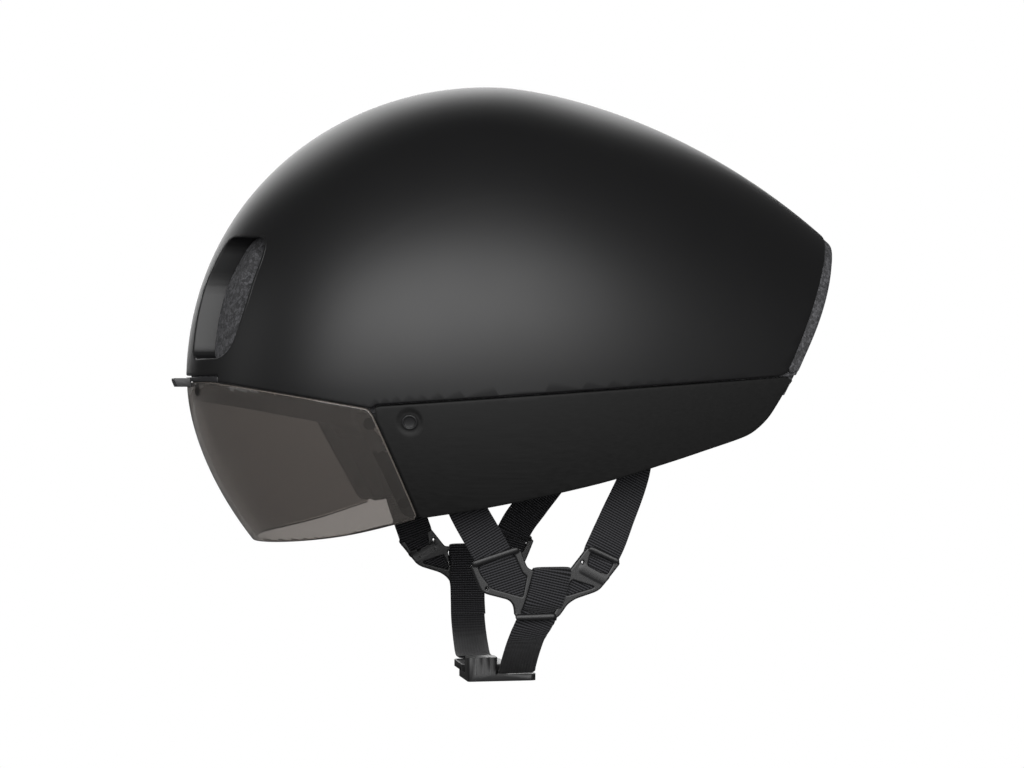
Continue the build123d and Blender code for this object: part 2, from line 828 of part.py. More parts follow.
def chin_strap(side):
    """Webbing from the divider's loop down and in, over the bar of its buckle half."""
    top = divider_plane(side).origin
    station = strap_station_left if side == left else strap_station_right
    face = divider_thickness / 2 + strap_gap + webbing_thickness / 2
    start = Vector(top.X, top.Y + side * face, top.Z + divider_height * loop_top_share)
    lower = Vector(top.X - divider_width * loop_shift_share, top.Y + side * face, top.Z - divider_height / 2)
    bow = Vector((lower.X + station) / 2, side * (abs(top.Y) - chin_bow), bow_level)
    level = plate_top(side) + strap_gap + webbing_thickness / 2
    end = Vector(station, side * (buckle_reach - bar_width), level)
    over = Vector(station, side * (buckle_reach + bar_width), level)
    down = Vector(0, 0, -1)
    inward = Vector(0, -side, 0)
    across = Vector(1, 0, 0)
    lean = (over - lower).normalized()
    return ribbon([(start, across, down), (lower, across, down), (bow, square(across, lean), lean),
                   (over, across, inward), (end, across, inward)])


def buckle_plate(side, front, width):
    """Plate of one buckle half with the slot that its strap goes through."""
    length = buckle_reach + buckle_overlap
    middle = side * (buckle_reach - buckle_overlap) / 2
    top = plate_top(side)
    plate = extrude(RectangleRounded(width, length, bar_width), amount=-plate_thickness)
    plate = Pos(front + width / 2, middle, top) * plate
    station = strap_station_left if side == left else strap_station_right
    slot = RectangleRounded(webbing_width + 2 * strap_gap, slot_width, slot_width / 2 - strap_gap / 2)
    place = Pos(station, side * (buckle_reach - bar_width - slot_width / 2), top)
    return plate - place * extrude(slot, amount=plate_thickness, both=True)


def key_block(gap):
    """Key along the slide, square to the straps, or with a gap its groove, open at the front."""
    rear = body_front + body_width - key_setback + gap
    front = body_front - gap if gap else rear - key_length
    length = rear - front
    size = Box(length, key_width + 2 * gap, key_height + fit_gap + gap)
    level = body_level - plate_thickness + (key_height - fit_gap + gap) / 2
    return Pos(front + length / 2, 0, level) * size


def seal(side, level_side):
    """Disc magnet in the face where one buckle half meets the other."""
    inner = body_level - plate_thickness
    level = inner + seal_height / 2 if level_side == right else inner - fit_gap - seal_height / 2
    station = body_front + body_width / 2
    return Pos(station, side * seal_offset, level) * Cylinder(seal_radius, seal_height)


def buckle_body():
    """Far buckle half, with the groove that the key slides in."""
    body = buckle_plate(right, body_front, body_width) - key_block(fit_gap)
    for side in (left, right):
        body -= seal(side, right)
    return one_solid(body)


def buckle_clasp():
    """Near buckle half, with the key and the ridged finger grip."""
    clasp = buckle_plate(left, clasp_front, clasp_width) + key_block(0)
    top = plate_top(left)
    grip = extrude(RectangleRounded(grip_width, grip_length, bar_width / 2), amount=grip_height + plate_thickness)
    grip = Pos(clasp_front + grip_width / 2, grip_length / 2 - buckle_reach, top - plate_thickness) * grip
    pitch = grip_width / (ridge_count + 1)
    for ridge in range(ridge_count):
        groove = Box(ridge_width, 2 * ridge_depth, grip_height + plate_thickness)
        grip -= Pos(clasp_front + pitch * (ridge + 1), -buckle_reach, top + plate_thickness) * groove
    clasp += grip
    for side in (left, right):
        clasp -= seal(side, left)
    return one_solid(clasp)


def head_ring(lift, wall, height):
    """Elliptic ring round the head at the cradle's level."""
    outer = Ellipse(head_half_length + lift + wall, head_half_breadth + lift + wall)
    inner = Ellipse(head_half_length + lift, head_half_breadth + lift)
    return Pos(0, 0, cradle_level) * extrude(outer - inner, amount=height / 2, both=True)


def rear_block(inner, outer):
    """Block behind the head from one offset to another on one side of the middle."""
    width = outer - inner
    return Pos(span / 2 + head_half_length / 2, inner + width / 2, cradle_level) * Box(span, width, span)


def housing_front():
    return strip_station() + strip_thickness + fit_gap


def cradle_yoke():
    """Band behind the head with two feet that carry the dial's housing."""
    yoke = head_ring(yoke_clearance, yoke_wall, yoke_height) & rear_block(-yoke_half_span, yoke_half_span)
    reach = housing_front() - head_half_length - yoke_clearance
    foot = Box(reach, foot_outer - foot_inner, yoke_height - yoke_wall)
    for side in (left, right):
        block = Pos(housing_front() - reach / 2, side * (foot_inner + foot_outer) / 2, cradle_level) * foot
        inside = extrude(Ellipse(head_half_length + yoke_clearance, head_half_breadth + yoke_clearance),
                         amount=span, both=True)
        yoke += block - inside
    return one_solid(yoke)


def height_strip():
    """Strip from the yoke up into the rail."""
    low = cradle_level - yoke_height / 2 + yoke_wall
    height = strip_top - low
    strip = Box(strip_thickness, strip_width, height)
    return Pos(strip_station() + strip_thickness / 2, 0, low + height / 2) * strip


def height_rail():
    """Open channel in the foam that the height strip slides in."""
    rail = rail_block(0)
    height = 2 * (rail_high - rail_low)
    slot = Box(strip_thickness + 2 * fit_gap, strip_width + 2 * fit_gap, height)
    mouth = Box(2 * rail_wall, rail_mouth, height)
    middle = strip_station() + strip_thickness / 2
    rail -= Pos(middle, 0, rail_low) * slot
    rail -= Pos(strip_station() - fit_gap - rail_wall, 0, rail_low) * mouth
    return one_solid(rail)


def housing_face(inset):
    width = 2 * (housing_half_span - inset)
    return RectangleRounded(width, housing_height - 2 * inset, housing_corner - inset)


def rack_level(side):
    """Height of the middle of a rack's bar: the left arm's above the pinion, the right arm's below."""
    return cradle_level - side * (pinion_radius + tooth_half_depth + tooth_clearance + rack_height / 2)


def dial_housing():
    """Open case for pinion and racks, with screw bosses and a slot for each arm."""
    front = housing_front()
    body = front_prism(housing_face(0), front, front + housing_depth)
    body -= front_prism(housing_face(housing_wall), front + housing_wall, front + 2 * housing_depth)
    for side in (left, right):
        boss = Pos(side * boss_offset, 0) * (Circle(housing_boss_radius) - Circle(screw_radius))
        body += front_prism(boss, front + housing_wall, front + housing_depth)
    body = Pos(0, 0, cradle_level) * body
    for side in (left, right):
        slot = Box(rack_thickness + 2 * fit_gap, 2 * housing_wall + 2 * fit_gap, rack_height + 2 * fit_gap)
        body -= Pos(rack_station(), side * housing_half_span, rack_level(side)) * slot
    return one_solid(body)


def rack_station():
    """Station of the middle of the racks and the pinion."""
    return housing_front() + housing_wall + fit_gap + pinion_width / 2


def housing_cover():
    """Plate that closes the case, with the pinion's hole and two screw holes."""
    plate = housing_face(0) - Circle(hub_radius + fit_gap)
    for side in (left, right):
        plate -= Pos(side * boss_offset, 0) * Circle(screw_radius)
    front = housing_front() + housing_depth
    return Pos(0, 0, cradle_level) * front_prism(plate, front, front + housing_wall)


def housing_screw(side):
    """Screw through the cover into a boss of the case."""
    back = housing_front() + housing_depth + housing_wall
    shank = Pos(side * boss_offset, 0) * Circle(screw_radius)
    head = Pos(side * boss_offset, 0) * Circle(screw_head)
    screw = front_prism(shank, housing_front() + housing_wall + fit_gap, back)
    screw += front_prism(head, back, back + screw_head_height)
    return Pos(0, 0, cradle_level) * screw


def tooth(root, tip, sign):
    """Outline of one straight-sided tooth between two heights about the pitch line."""
    pitch = 2 * math.pi * pinion_radius / pinion_teeth
    half = pitch * tooth_width_share / 2
    at_root = half + root * tooth_slope_share
    at_tip = half - tip * tooth_slope_share
    return [(-at_root, -sign * root), (-at_tip, sign * tip), (at_tip, sign * tip), (at_root, -sign * root)]


def dial_pinion():
    """Pinion with a hub that reaches the dial."""
    root = tooth_half_depth + tooth_clearance
    gear = Circle(pinion_radius - root + tooth_clearance / 2)
    profile = make_face(Polyline(*tooth(root, tooth_half_depth, 1), close=True))
    for step in range(pinion_teeth):
        gear += Rot(0, 0, 360 * step / pinion_teeth) * (Pos(0, pinion_radius) * profile)
    front = rack_station() - pinion_width / 2
    pinion = front_prism(gear - Circle(dial_screw_radius), front, front + pinion_width)
    hub = Circle(hub_radius) - Circle(dial_screw_radius)
    pinion += front_prism(hub, front + pinion_width, dial_front())
    return Pos(0, 0, cradle_level) * one_solid(pinion)


def dial_front():
    return housing_front() + housing_depth + housing_wall + screw_head_height + fit_gap


def dial_knob():
    """Dial with finger grooves, sunk for its screw."""
    outline = Circle(dial_radius)
    for step in range(dial_grips):
        angle = 2 * math.pi * step / dial_grips
        outline -= Pos(dial_radius * math.cos(angle), dial_radius * math.sin(angle)) * Circle(dial_grip_radius)
    outline -= Circle(dial_screw_radius)
    front = dial_front()
    knob = front_prism(outline, front, front + dial_depth)
    sink = Circle(dial_screw_head + fit_gap)
    knob -= front_prism(sink, front + dial_depth - dial_screw_sink, front + 2 * dial_depth)
    return Pos(0, 0, cradle_level) * one_solid(knob)


def dial_screw():
    """Screw that holds the dial on the pinion."""
    seat = dial_front() + dial_depth - dial_screw_sink
    screw = front_prism(Circle(dial_screw_radius), rack_station() - pinion_width / 2, seat)
    screw += front_prism(Circle(dial_screw_head), seat, seat + dial_screw_sink * screw_fill_share)
    return Pos(0, 0, cradle_level) * screw


def arm_path():
    """Path of the left arm's band in the plan view, from the rack round the head to the tip."""
    length = head_half_length + arm_lift
    breadth = head_half_breadth + arm_lift
    points = [(rack_station(), -arm_straight)] + [(x, -y) for x, y in arm_turn]
    for x in (*arm_stations, arm_tip):
        points.append((x, -breadth * math.sqrt(1 - (x / length) ** 2)))
    return Spline(points)


def side_arm(side):
    """Arm round one side of the head with the rack that the pinion drives."""
    path = arm_path()
    faces = []
    for offset_side in (left, right):
        points = []
        for step in range(arm_steps + 1):
            along = path.tangent_at(step / arm_steps)
            points.append(path.position_at(step / arm_steps) + Vector(along.Y, -along.X) * arm_wall / 2 * offset_side)
        faces.append(points)
    inner, outer = faces
    outline = [Spline(inner), Line(inner[-1], outer[-1]), Spline(outer), Line(outer[0], inner[0])]
    low = cradle_level - arm_height / 2
    arm = Pos(0, 0, low) * extrude(make_face(Curve() + outline), amount=arm_height, dir=(0, 0, 1))
    level = rack_level(left)
    length = arm_straight + rack_nose
    bar = Box(rack_thickness, length, rack_height)
    arm += Pos(rack_station(), rack_nose - length / 2, level) * bar
    foot = low + arm_wall
    top = level + rack_height / 2
    shoulder = Box(rack_thickness, 2 * arm_wall, top - foot)
    arm += Pos(rack_station(), -arm_straight - arm_wall + fit_gap, (foot + top) / 2) * shoulder
    pitch = 2 * math.pi * pinion_radius / pinion_teeth
    root = tooth_half_depth + tooth_clearance
    profile = make_face(Polyline(*tooth(root, tooth_half_depth, -1), close=True))
    for step in range(rack_teeth):
        place = Pos(pitch / 2 - pitch * step, pinion_radius)
        arm += Pos(0, 0, cradle_level) * front_prism(place * profile, rack_station() - rack_thickness / 2,
                                                     rack_station() + rack_thickness / 2)
    arm = one_solid(arm)
    if side == left:
        return arm
    flipped = mirror(other_side(arm), about=Plane.XY.offset(cradle_level))
    return flipped


def nape_pad(side):
    """Pad on the yoke, towards the head."""
    ring = head_ring(yoke_clearance - nape_pad_thickness - fit_gap, nape_pad_thickness, nape_pad_height)
    inner, outer = (nape_pad_inner, nape_pad_outer) if side == right else (-nape_pad_outer, -nape_pad_inner)
    return one_solid(ring & rear_block(inner, outer))


print("shell")
parts = {}
parts["outer_shell"] = outer_shell()
parts["foam_liner"] = foam_liner()
parts["ear_cover_left"] = ear_cover_left()
parts["ear_cover_right"] = other_side(parts["ear_cover_left"])
parts["cover_studs"] = [cover_stud(side) for side in (left, right)]
parts["cover_stud_inserts"] = [insert_body(side, 0) - cover_stud(side) for side in (left, right)]
parts["shield_lens"] = shield_lens()
parts["shield_clip"] = shield_clip()
parts["shield_discs"] = shield_discs()
parts["shield_magnets"] = shield_magnets()
parts["brow_band"] = brow_band()
parts["tail_rim_cover"] = tail_rim_cover()
print("pads and straps")
parts["brow_pad"] = pad(brow_pad_prism(), pad_lift, pad_thickness)
parts["side_pad_left"] = pad(side_pad_prism(left), pad_lift, pad_thickness)
parts["side_pad_right"] = other_side(parts["side_pad_left"])
parts["crown_pad"] = pad(crown_pad_prism(), pad_lift, pad_thickness)
parts["pad_dots"] = pad_dots()
for side, name in ((left, "left"), (right, "right")):
    parts[f"front_strap_{name}"] = front_strap(side)
    parts[f"rear_strap_{name}"] = rear_strap(side)
    parts[f"strap_divider_{name}"] = strap_divider(side)
    parts[f"chin_strap_{name}"] = chin_strap(side)
parts["front_strap_anchors"] = [strap_anchor(side, front_anchor) for side in (left, right)]
parts["rear_strap_anchors"] = [strap_anchor(side, rear_anchor) for side in (left, right)]

parts["buckle_body"] = buckle_body()
parts["buckle_clasp"] = buckle_clasp()
parts["body_magnets"] = [seal(side, right) for side in (left, right)]
parts["clasp_magnets"] = [seal(side, left) for side in (left, right)]
print("cradle")
parts["height_rail"] = height_rail()
parts["height_strip"] = height_strip()
parts["cradle_yoke"] = cradle_yoke()
parts["dial_housing"] = dial_housing()
parts["housing_cover"] = housing_cover()
parts["housing_screws"] = [housing_screw(side) for side in (left, right)]
parts["dial_pinion"] = dial_pinion()
parts["dial_knob"] = dial_knob()
parts["dial_screw"] = dial_screw()
parts["side_arm_left"] = side_arm(left)
parts["side_arm_right"] = side_arm(right)
parts["nape_pads"] = [nape_pad(side) for side in (left, right)]

os.makedirs("parts", exist_ok=True)
for name, shape in parts.items():
    solids = shape if isinstance(shape, list) else [shape]
    body = solids[0] if len(solids) == 1 else Compound(children=[one_solid(solid) for solid in solids])
    export_step(body, f"parts/{name}.step")
    print(name, round(body.volume))
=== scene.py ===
"""Looks of an aero time trial helmet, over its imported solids. Metres in the scene, millimetres in the sizes below.

+Z is up, the wearer faces -X and the wearer's left is -Y. The origin is the head's centre at brow level.
"""

import logging
import math
from dataclasses import dataclass, field
from enum import Enum
from typing import Callable

import bmesh
import bpy
import numpy as np
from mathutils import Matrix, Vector


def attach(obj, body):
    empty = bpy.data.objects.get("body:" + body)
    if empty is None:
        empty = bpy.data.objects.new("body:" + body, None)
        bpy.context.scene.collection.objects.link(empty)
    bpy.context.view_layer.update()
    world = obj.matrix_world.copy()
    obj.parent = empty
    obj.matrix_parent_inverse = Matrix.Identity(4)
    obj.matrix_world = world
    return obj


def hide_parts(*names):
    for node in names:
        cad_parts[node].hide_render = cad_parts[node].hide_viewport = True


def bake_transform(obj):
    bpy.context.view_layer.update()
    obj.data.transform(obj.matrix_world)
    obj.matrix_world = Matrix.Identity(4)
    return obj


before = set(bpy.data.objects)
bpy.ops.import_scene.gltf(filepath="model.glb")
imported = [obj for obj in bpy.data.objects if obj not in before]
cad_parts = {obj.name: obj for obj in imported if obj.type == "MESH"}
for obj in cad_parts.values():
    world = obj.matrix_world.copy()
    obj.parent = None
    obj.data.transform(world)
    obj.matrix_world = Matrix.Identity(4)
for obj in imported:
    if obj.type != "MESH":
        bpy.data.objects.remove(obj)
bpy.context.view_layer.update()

MM = 0.001
DEG = math.radians(1)
FAR = 100.0  # a distance in millimetres that no outline reaches
HALVINGS = 44  # enough to find a place to far less than a micron
TINY = 1e-12  # keeps a quotient from having zero below its line
Array = np.ndarray
log = logging.getLogger("helmet")


class Side(Enum):
    """The wearer's side of a piece, as the sign of its y."""

    LEFT = -1
    RIGHT = 1

    @property
    def word(self) -> str:
        """The side's name as nodes spell it."""
        return self.name.lower()


# Colours and nodes


def linear(code: str, alpha: float = 1.0) -> tuple[float, float, float, float]:
    """Turns an sRGB hex colour to linear.

    Args:
        code: six hex digits.
        alpha: opacity.

    Returns:
        Linear red, green, blue and alpha.
    """
    values = [int(code[k:k + 2], 16) / 255 for k in (0, 2, 4)]
    red, green, blue = [v / 12.92 if v <= 0.04045 else ((v + 0.055) / 1.055) ** 2.4 for v in values]
    return red, green, blue, alpha


def add_node(tree: bpy.types.NodeTree, kind: str, settings: dict | None = None, links: dict | None = None,
             stops: tuple[tuple[float, str], ...] = (), into: bpy.types.NodeSocket | None = None) -> bpy.types.Node:
    """Adds one node with its settings and links.

    Args:
        tree: the material's or world's node tree.
        kind: node type.
        settings: attribute names, or input names or numbers, and their values.
        links: input names or numbers and the output sockets that feed them.
        stops: places from 0 to 1 with hex colours, where the node holds a run of colours.
        into: input of another node that this node's first output feeds.

    Returns:
        The node.
    """
    node = tree.nodes.new(kind)
    for name, value in (settings or {}).items():
        if isinstance(name, str) and hasattr(node, name):
            setattr(node, name, value)
        else:
            node.inputs[name].default_value = value
    for name, socket in (links or {}).items():
        tree.links.new(socket, node.inputs[name])
    for place, _ in stops[2:]:
        node.color_ramp.elements.new(place)
    for element, (place, code) in zip(node.color_ramp.elements if stops else (), stops):
        element.position = place
        element.color = linear(code)
    if into is not None:
        tree.links.new(node.outputs[0], into)
    return node


def per_metre(size: float) -> float:
    """Scale of a pattern whose cells are one size in millimetres, for a texture in metres."""
    return 1 / (size * MM)


# Finishes. Each pattern's size is the real one in millimetres, or coarser where a comment says so.


@dataclass(frozen=True)
class Finish:
    """One finish: the real material's name, its colour and its surface.

    Args:
        name: the material's name.
        colour: sRGB hex colour.
        roughness: roughness of its surface.
    """

    name: str
    colour: str
    roughness: float

    def material(self) -> bpy.types.Material:
        """Builds the material once and hands it out again afterwards.

        Returns:
            The material.
        """
        made = bpy.data.materials.get(self.name)
        if made:
            return made
        made = bpy.data.materials.new(self.name)
        made.use_nodes = True
        tree = made.node_tree
        tree.nodes.clear()
        shader = add_node(tree, "ShaderNodeBsdfPrincipled",
                          {"Base Color": linear(self.colour), "Roughness": self.roughness})
        add_node(tree, "ShaderNodeOutputMaterial", links={"Surface": shader.outputs[0]})
        self.dress(tree, shader, add_node(tree, "ShaderNodeTexCoord").outputs["Object"])
        return made

    def dress(self, tree: bpy.types.NodeTree, shader: bpy.types.Node, place: bpy.types.NodeSocket) -> None:
        """Adds the finish's own nodes to its shader, with the object's own coordinates as the place."""


@dataclass(frozen=True)
class MatteLacquer(Finish):
    """Matte lacquer over a thermoformed polycarbonate skin: dead black with one broad soft sheen.

    The orange peel of sprayed lacquer is about 0.25 mm across. It is drawn coarser, so that it shows.
    """

    peel: float = 0.7
    cloud: float = 45.0

    def dress(self, tree: bpy.types.NodeTree, shader: bpy.types.Node, place: bpy.types.NodeSocket) -> None:
        """Raises the orange peel by noise, and varies the roughness in clouds.

        Args:
            tree: the material's node tree.
            shader: its shader.
            place: the object's coordinates.
        """
        peel = add_node(tree, "ShaderNodeTexNoise", {"Scale": per_metre(self.peel), "Detail": 2.0}, {"Vector": place})
        add_node(tree, "ShaderNodeBump", {"Strength": 0.35, "Distance": 0.012 * MM}, {"Height": peel.outputs[0]},
                 into=shader.inputs["Normal"])
        cloud = add_node(tree, "ShaderNodeTexNoise", {"Scale": per_metre(self.cloud), "Detail": 2.0}, {"Vector": place})
        add_node(tree, "ShaderNodeMapRange", {"To Min": self.roughness - 0.03, "To Max": self.roughness + 0.03},
                 {"Value": cloud.outputs[0]}, into=shader.inputs["Roughness"])
        shader.inputs["Specular IOR Level"].default_value = 0.5


@dataclass(frozen=True)
class BrushedMoulding(Finish):
    """Injection moulded ABS with a very fine grain that runs fore and aft, which spreads its sheen thin.

    The mould's lines are about 0.3 mm apart. They are drawn at twice that, so that they show.
    """

    line: float = 0.6
    stretch: float = 40.0

    def dress(self, tree: bpy.types.NodeTree, shader: bpy.types.Node, place: bpy.types.NodeSocket) -> None:
        """Draws noise out along x into streaks, which give height, roughness and shade.

        Args:
            tree: the material's node tree.
            shader: its shader.
            place: the object's coordinates.
        """
        drawn = add_node(tree, "ShaderNodeMapping", {"Scale": (1 / self.stretch, 1.0, 1.0)}, {"Vector": place})
        streak = add_node(tree, "ShaderNodeTexNoise", {"Scale": per_metre(self.line), "Detail": 2.0},
                          {"Vector": drawn.outputs[0]})
        add_node(tree, "ShaderNodeBump", {"Strength": 0.5, "Distance": 0.03 * MM}, {"Height": streak.outputs[0]},
                 into=shader.inputs["Normal"])
        add_node(tree, "ShaderNodeMapRange", {"To Min": self.roughness - 0.06, "To Max": self.roughness + 0.08},
                 {"Value": streak.outputs[0]}, into=shader.inputs["Roughness"])
        add_node(tree, "ShaderNodeValToRGB", links={"Fac": streak.outputs[0]},
                 stops=((0.3, self.colour), (0.75, "151515")), into=shader.inputs["Base Color"])
        shader.inputs["Specular IOR Level"].default_value = 0.35


@dataclass(frozen=True)
class BeadFoam(Finish):
    """Expanded polystyrene: fused grey beads, each of its own shade, with dark seams between them."""

    bead: float = 1.7
    pore: float = 0.9

    def dress(self, tree: bpy.types.NodeTree, shader: bpy.types.Node, place: bpy.types.NodeSocket) -> None:
        """Shades Voronoi cells of one bead each at random, sinks them at their seams, and puts pores over them.

        Args:
            tree: the material's node tree.
            shader: its shader.
            place: the object's coordinates.
        """
        scale = {"Scale": per_metre(self.bead)}
        cells = add_node(tree, "ShaderNodeTexVoronoi", scale, {"Vector": place})
        seams = add_node(tree, "ShaderNodeTexVoronoi", {"feature": "DISTANCE_TO_EDGE", **scale}, {"Vector": place})
        pores = add_node(tree, "ShaderNodeTexNoise", {"Scale": per_metre(self.pore), "Detail": 3.0}, {"Vector": place})
        split = add_node(tree, "ShaderNodeSeparateColor", links={0: cells.outputs["Color"]})
        mixed = add_node(tree, "ShaderNodeMath", {"operation": "MULTIPLY_ADD", 1: 0.55},
                         {0: split.outputs[0], 2: pores.outputs[0]})
        shade = add_node(tree, "ShaderNodeValToRGB", links={"Fac": mixed.outputs[0]},
                         stops=((0.3, "2e2e30"), (0.7, self.colour), (1.0, "616164")))
        dark = add_node(tree, "ShaderNodeMapRange", {"From Max": 0.12, "To Min": 0.55}, {"Value": seams.outputs[0]})
        toned = add_node(tree, "ShaderNodeMix", {"data_type": "RGBA", "blend_type": "MULTIPLY", "Factor": 1.0},
                         {6: shade.outputs[0], 7: dark.outputs[0]})
        tree.links.new(toned.outputs[2], shader.inputs["Base Color"])
        rise = add_node(tree, "ShaderNodeMath", {"operation": "MULTIPLY_ADD", 1: 0.35},
                        {0: pores.outputs[0], 2: dark.outputs[0]})
        add_node(tree, "ShaderNodeBump", {"Strength": 0.7, "Distance": 0.25 * MM}, {"Height": rise.outputs[0]},
                 into=shader.inputs["Normal"])


@dataclass(frozen=True)
class ClearSheet(Finish):
    """Smoke tinted polycarbonate, moulded and polished: clear and brown grey, with a slight veil.

    Args:
        clear: share of the light that goes through.
        deep: the tint's darker shade.
        cloud: size of the unevenness in the tint.
    """

    clear: float = 0.86
    deep: str = "86817d"
    cloud: float = 90.0
    index: float = 1.585

    def dress(self, tree: bpy.types.NodeTree, shader: bpy.types.Node, place: bpy.types.NodeSocket) -> None:
        """Lets light through, and varies the tint by broad noise.

        Args:
            tree: the material's node tree.
            shader: its shader.
            place: the object's coordinates.
        """
        shader.inputs["Transmission Weight"].default_value = self.clear
        shader.inputs["IOR"].default_value = self.index
        haze = add_node(tree, "ShaderNodeTexNoise", {"Scale": per_metre(self.cloud), "Detail": 1.0}, {"Vector": place})
        add_node(tree, "ShaderNodeValToRGB", links={"Fac": haze.outputs[0]},
                 stops=((0.2, self.deep), (0.8, self.colour)), into=shader.inputs["Base Color"])


@dataclass(frozen=True)
class LensEdge(Finish):
    """The lens's cut edge, coloured paler and less clear than its faces: a painted highlight for the light that the
    edge gathers from the whole sheet.
    """

    clear: float = 0.45
    mark: float = 1.0
    index: float = 1.585

    def dress(self, tree: bpy.types.NodeTree, shader: bpy.types.Node, place: bpy.types.NodeSocket) -> None:
        """Half clear, with cutter marks in its roughness.

        Args:
            tree: the material's node tree.
            shader: its shader.
            place: the object's coordinates.
        """
        shader.inputs["Transmission Weight"].default_value = self.clear
        shader.inputs["IOR"].default_value = self.index
        marks = add_node(tree, "ShaderNodeTexNoise", {"Scale": per_metre(self.mark), "Detail": 2.0}, {"Vector": place})
        add_node(tree, "ShaderNodeMapRange", {"To Min": self.roughness - 0.1, "To Max": self.roughness + 0.1},
                 {"Value": marks.outputs[0]}, into=shader.inputs["Roughness"])


@dataclass(frozen=True)
class Moulded(Finish):
    """Injection moulded plastic with an even spark-eroded grain, which gives a satin surface."""

    grain: float = 0.5
    depth: float = 0.02

    def dress(self, tree: bpy.types.NodeTree, shader: bpy.types.Node, place: bpy.types.NodeSocket) -> None:
        """Raises a fine round grain by noise, with a roughness that follows it.

        Args:
            tree: the material's node tree.
            shader: its shader.
            place: the object's coordinates.
        """
        grain = add_node(tree, "ShaderNodeTexNoise", {"Scale": per_metre(self.grain), "Detail": 2.0}, {"Vector": place})
        add_node(tree, "ShaderNodeBump", {"Strength": 0.6, "Distance": self.depth * MM}, {"Height": grain.outputs[0]},
                 into=shader.inputs["Normal"])
        add_node(tree, "ShaderNodeMapRange", {"To Min": self.roughness - 0.05, "To Max": self.roughness + 0.05},
                 {"Value": grain.outputs[0]}, into=shader.inputs["Roughness"])


@dataclass(frozen=True)
class OxideCoat(Finish):
    """Steel under a flat black oxide and wax coat, which hardly shines."""

    mottle: float = 2.0

    def dress(self, tree: bpy.types.NodeTree, shader: bpy.types.Node, place: bpy.types.NodeSocket) -> None:
        """Low shine, with a roughness mottled by noise.

        Args:
            tree: the material's node tree.
            shader: its shader.
            place: the object's coordinates.
        """
        shader.inputs["Specular IOR Level"].default_value = 0.08
        mottle = add_node(tree, "ShaderNodeTexNoise", {"Scale": per_metre(self.mottle), "Detail": 2.0},
                          {"Vector": place})
        add_node(tree, "ShaderNodeMapRange", {"To Min": self.roughness - 0.1, "To Max": self.roughness + 0.1},
                 {"Value": mottle.outputs[0]}, into=shader.inputs["Roughness"])


@dataclass(frozen=True)
class PlatedSteel(Finish):
    """Nickel plated steel, turned or stamped: bright metal with fine scratches that run across."""

    scratch: float = 0.5
    stretch: float = 8.0

    def dress(self, tree: bpy.types.NodeTree, shader: bpy.types.Node, place: bpy.types.NodeSocket) -> None:
        """Full metal, with noise drawn out along y in its roughness.

        Args:
            tree: the material's node tree.
            shader: its shader.
            place: the object's coordinates.
        """
        shader.inputs["Metallic"].default_value = 1.0
        drawn = add_node(tree, "ShaderNodeMapping", {"Scale": (1.0, 1 / self.stretch, 1.0)}, {"Vector": place})
        scratch = add_node(tree, "ShaderNodeTexNoise", {"Scale": per_metre(self.scratch), "Detail": 2.0},
                           {"Vector": drawn.outputs[0]})
        add_node(tree, "ShaderNodeMapRange", {"To Min": self.roughness, "To Max": self.roughness + 0.15},
                 {"Value": scratch.outputs[0]}, into=shader.inputs["Roughness"])


@dataclass(frozen=True)
class Webbing(Finish):
    """Woven nylon webbing: ribs straight across it, split into cords along it, in the piece's own UV in metres."""

    rib: float = 1.15
    cord: float = 1.3
    fuzz: float = 0.4

    def dress(self, tree: bpy.types.NodeTree, shader: bpy.types.Node, place: bpy.types.NodeSocket) -> None:
        """Adds a wave along the webbing, a smaller one across it and fuzz into a height; low places are painted darker
        as shade, and the highest places paler as a highlight.

        Args:
            tree: the material's node tree.
            shader: its shader.
            place: the object's coordinates.
        """
        weave = add_node(tree, "ShaderNodeUVMap", {"uv_map": "weave"})
        axes = add_node(tree, "ShaderNodeSeparateXYZ", links={0: weave.outputs[0]})
        waves = []
        for axis, pitch in enumerate((self.cord, self.rib)):
            turns = add_node(tree, "ShaderNodeMath", {"operation": "MULTIPLY", 1: 2 * math.pi * per_metre(pitch)},
                             {0: axes.outputs[axis]})
            wave = add_node(tree, "ShaderNodeMath", {"operation": "SINE"}, {0: turns.outputs[0]})
            waves.append(add_node(tree, "ShaderNodeMapRange", {"From Min": -1.0}, {"Value": wave.outputs[0]}))
        crossed = add_node(tree, "ShaderNodeMath", {"operation": "MULTIPLY_ADD", 1: 0.3},
                           {0: waves[0].outputs[0], 2: waves[1].outputs[0]})
        fuzz = add_node(tree, "ShaderNodeTexNoise", {"Scale": per_metre(self.fuzz), "Detail": 2.0}, {"Vector": place})
        height = add_node(tree, "ShaderNodeMath", {"operation": "MULTIPLY_ADD", 1: 0.4},
                          {0: fuzz.outputs[0], 2: crossed.outputs[0]})
        add_node(tree, "ShaderNodeBump", {"Strength": 0.9, "Distance": 0.22 * MM}, {"Height": height.outputs[0]},
                 into=shader.inputs["Normal"])
        # Painted shade in the weave's low places and a painted highlight on its crests.
        add_node(tree, "ShaderNodeValToRGB", links={"Fac": height.outputs[0]},
                 stops=((0.25, "0b0b0c"), (0.9, self.colour), (1.0, "3c3c3f")), into=shader.inputs["Base Color"])
        shader.inputs["Sheen Weight"].default_value = 0.12
        shader.inputs["Specular IOR Level"].default_value = 0.15


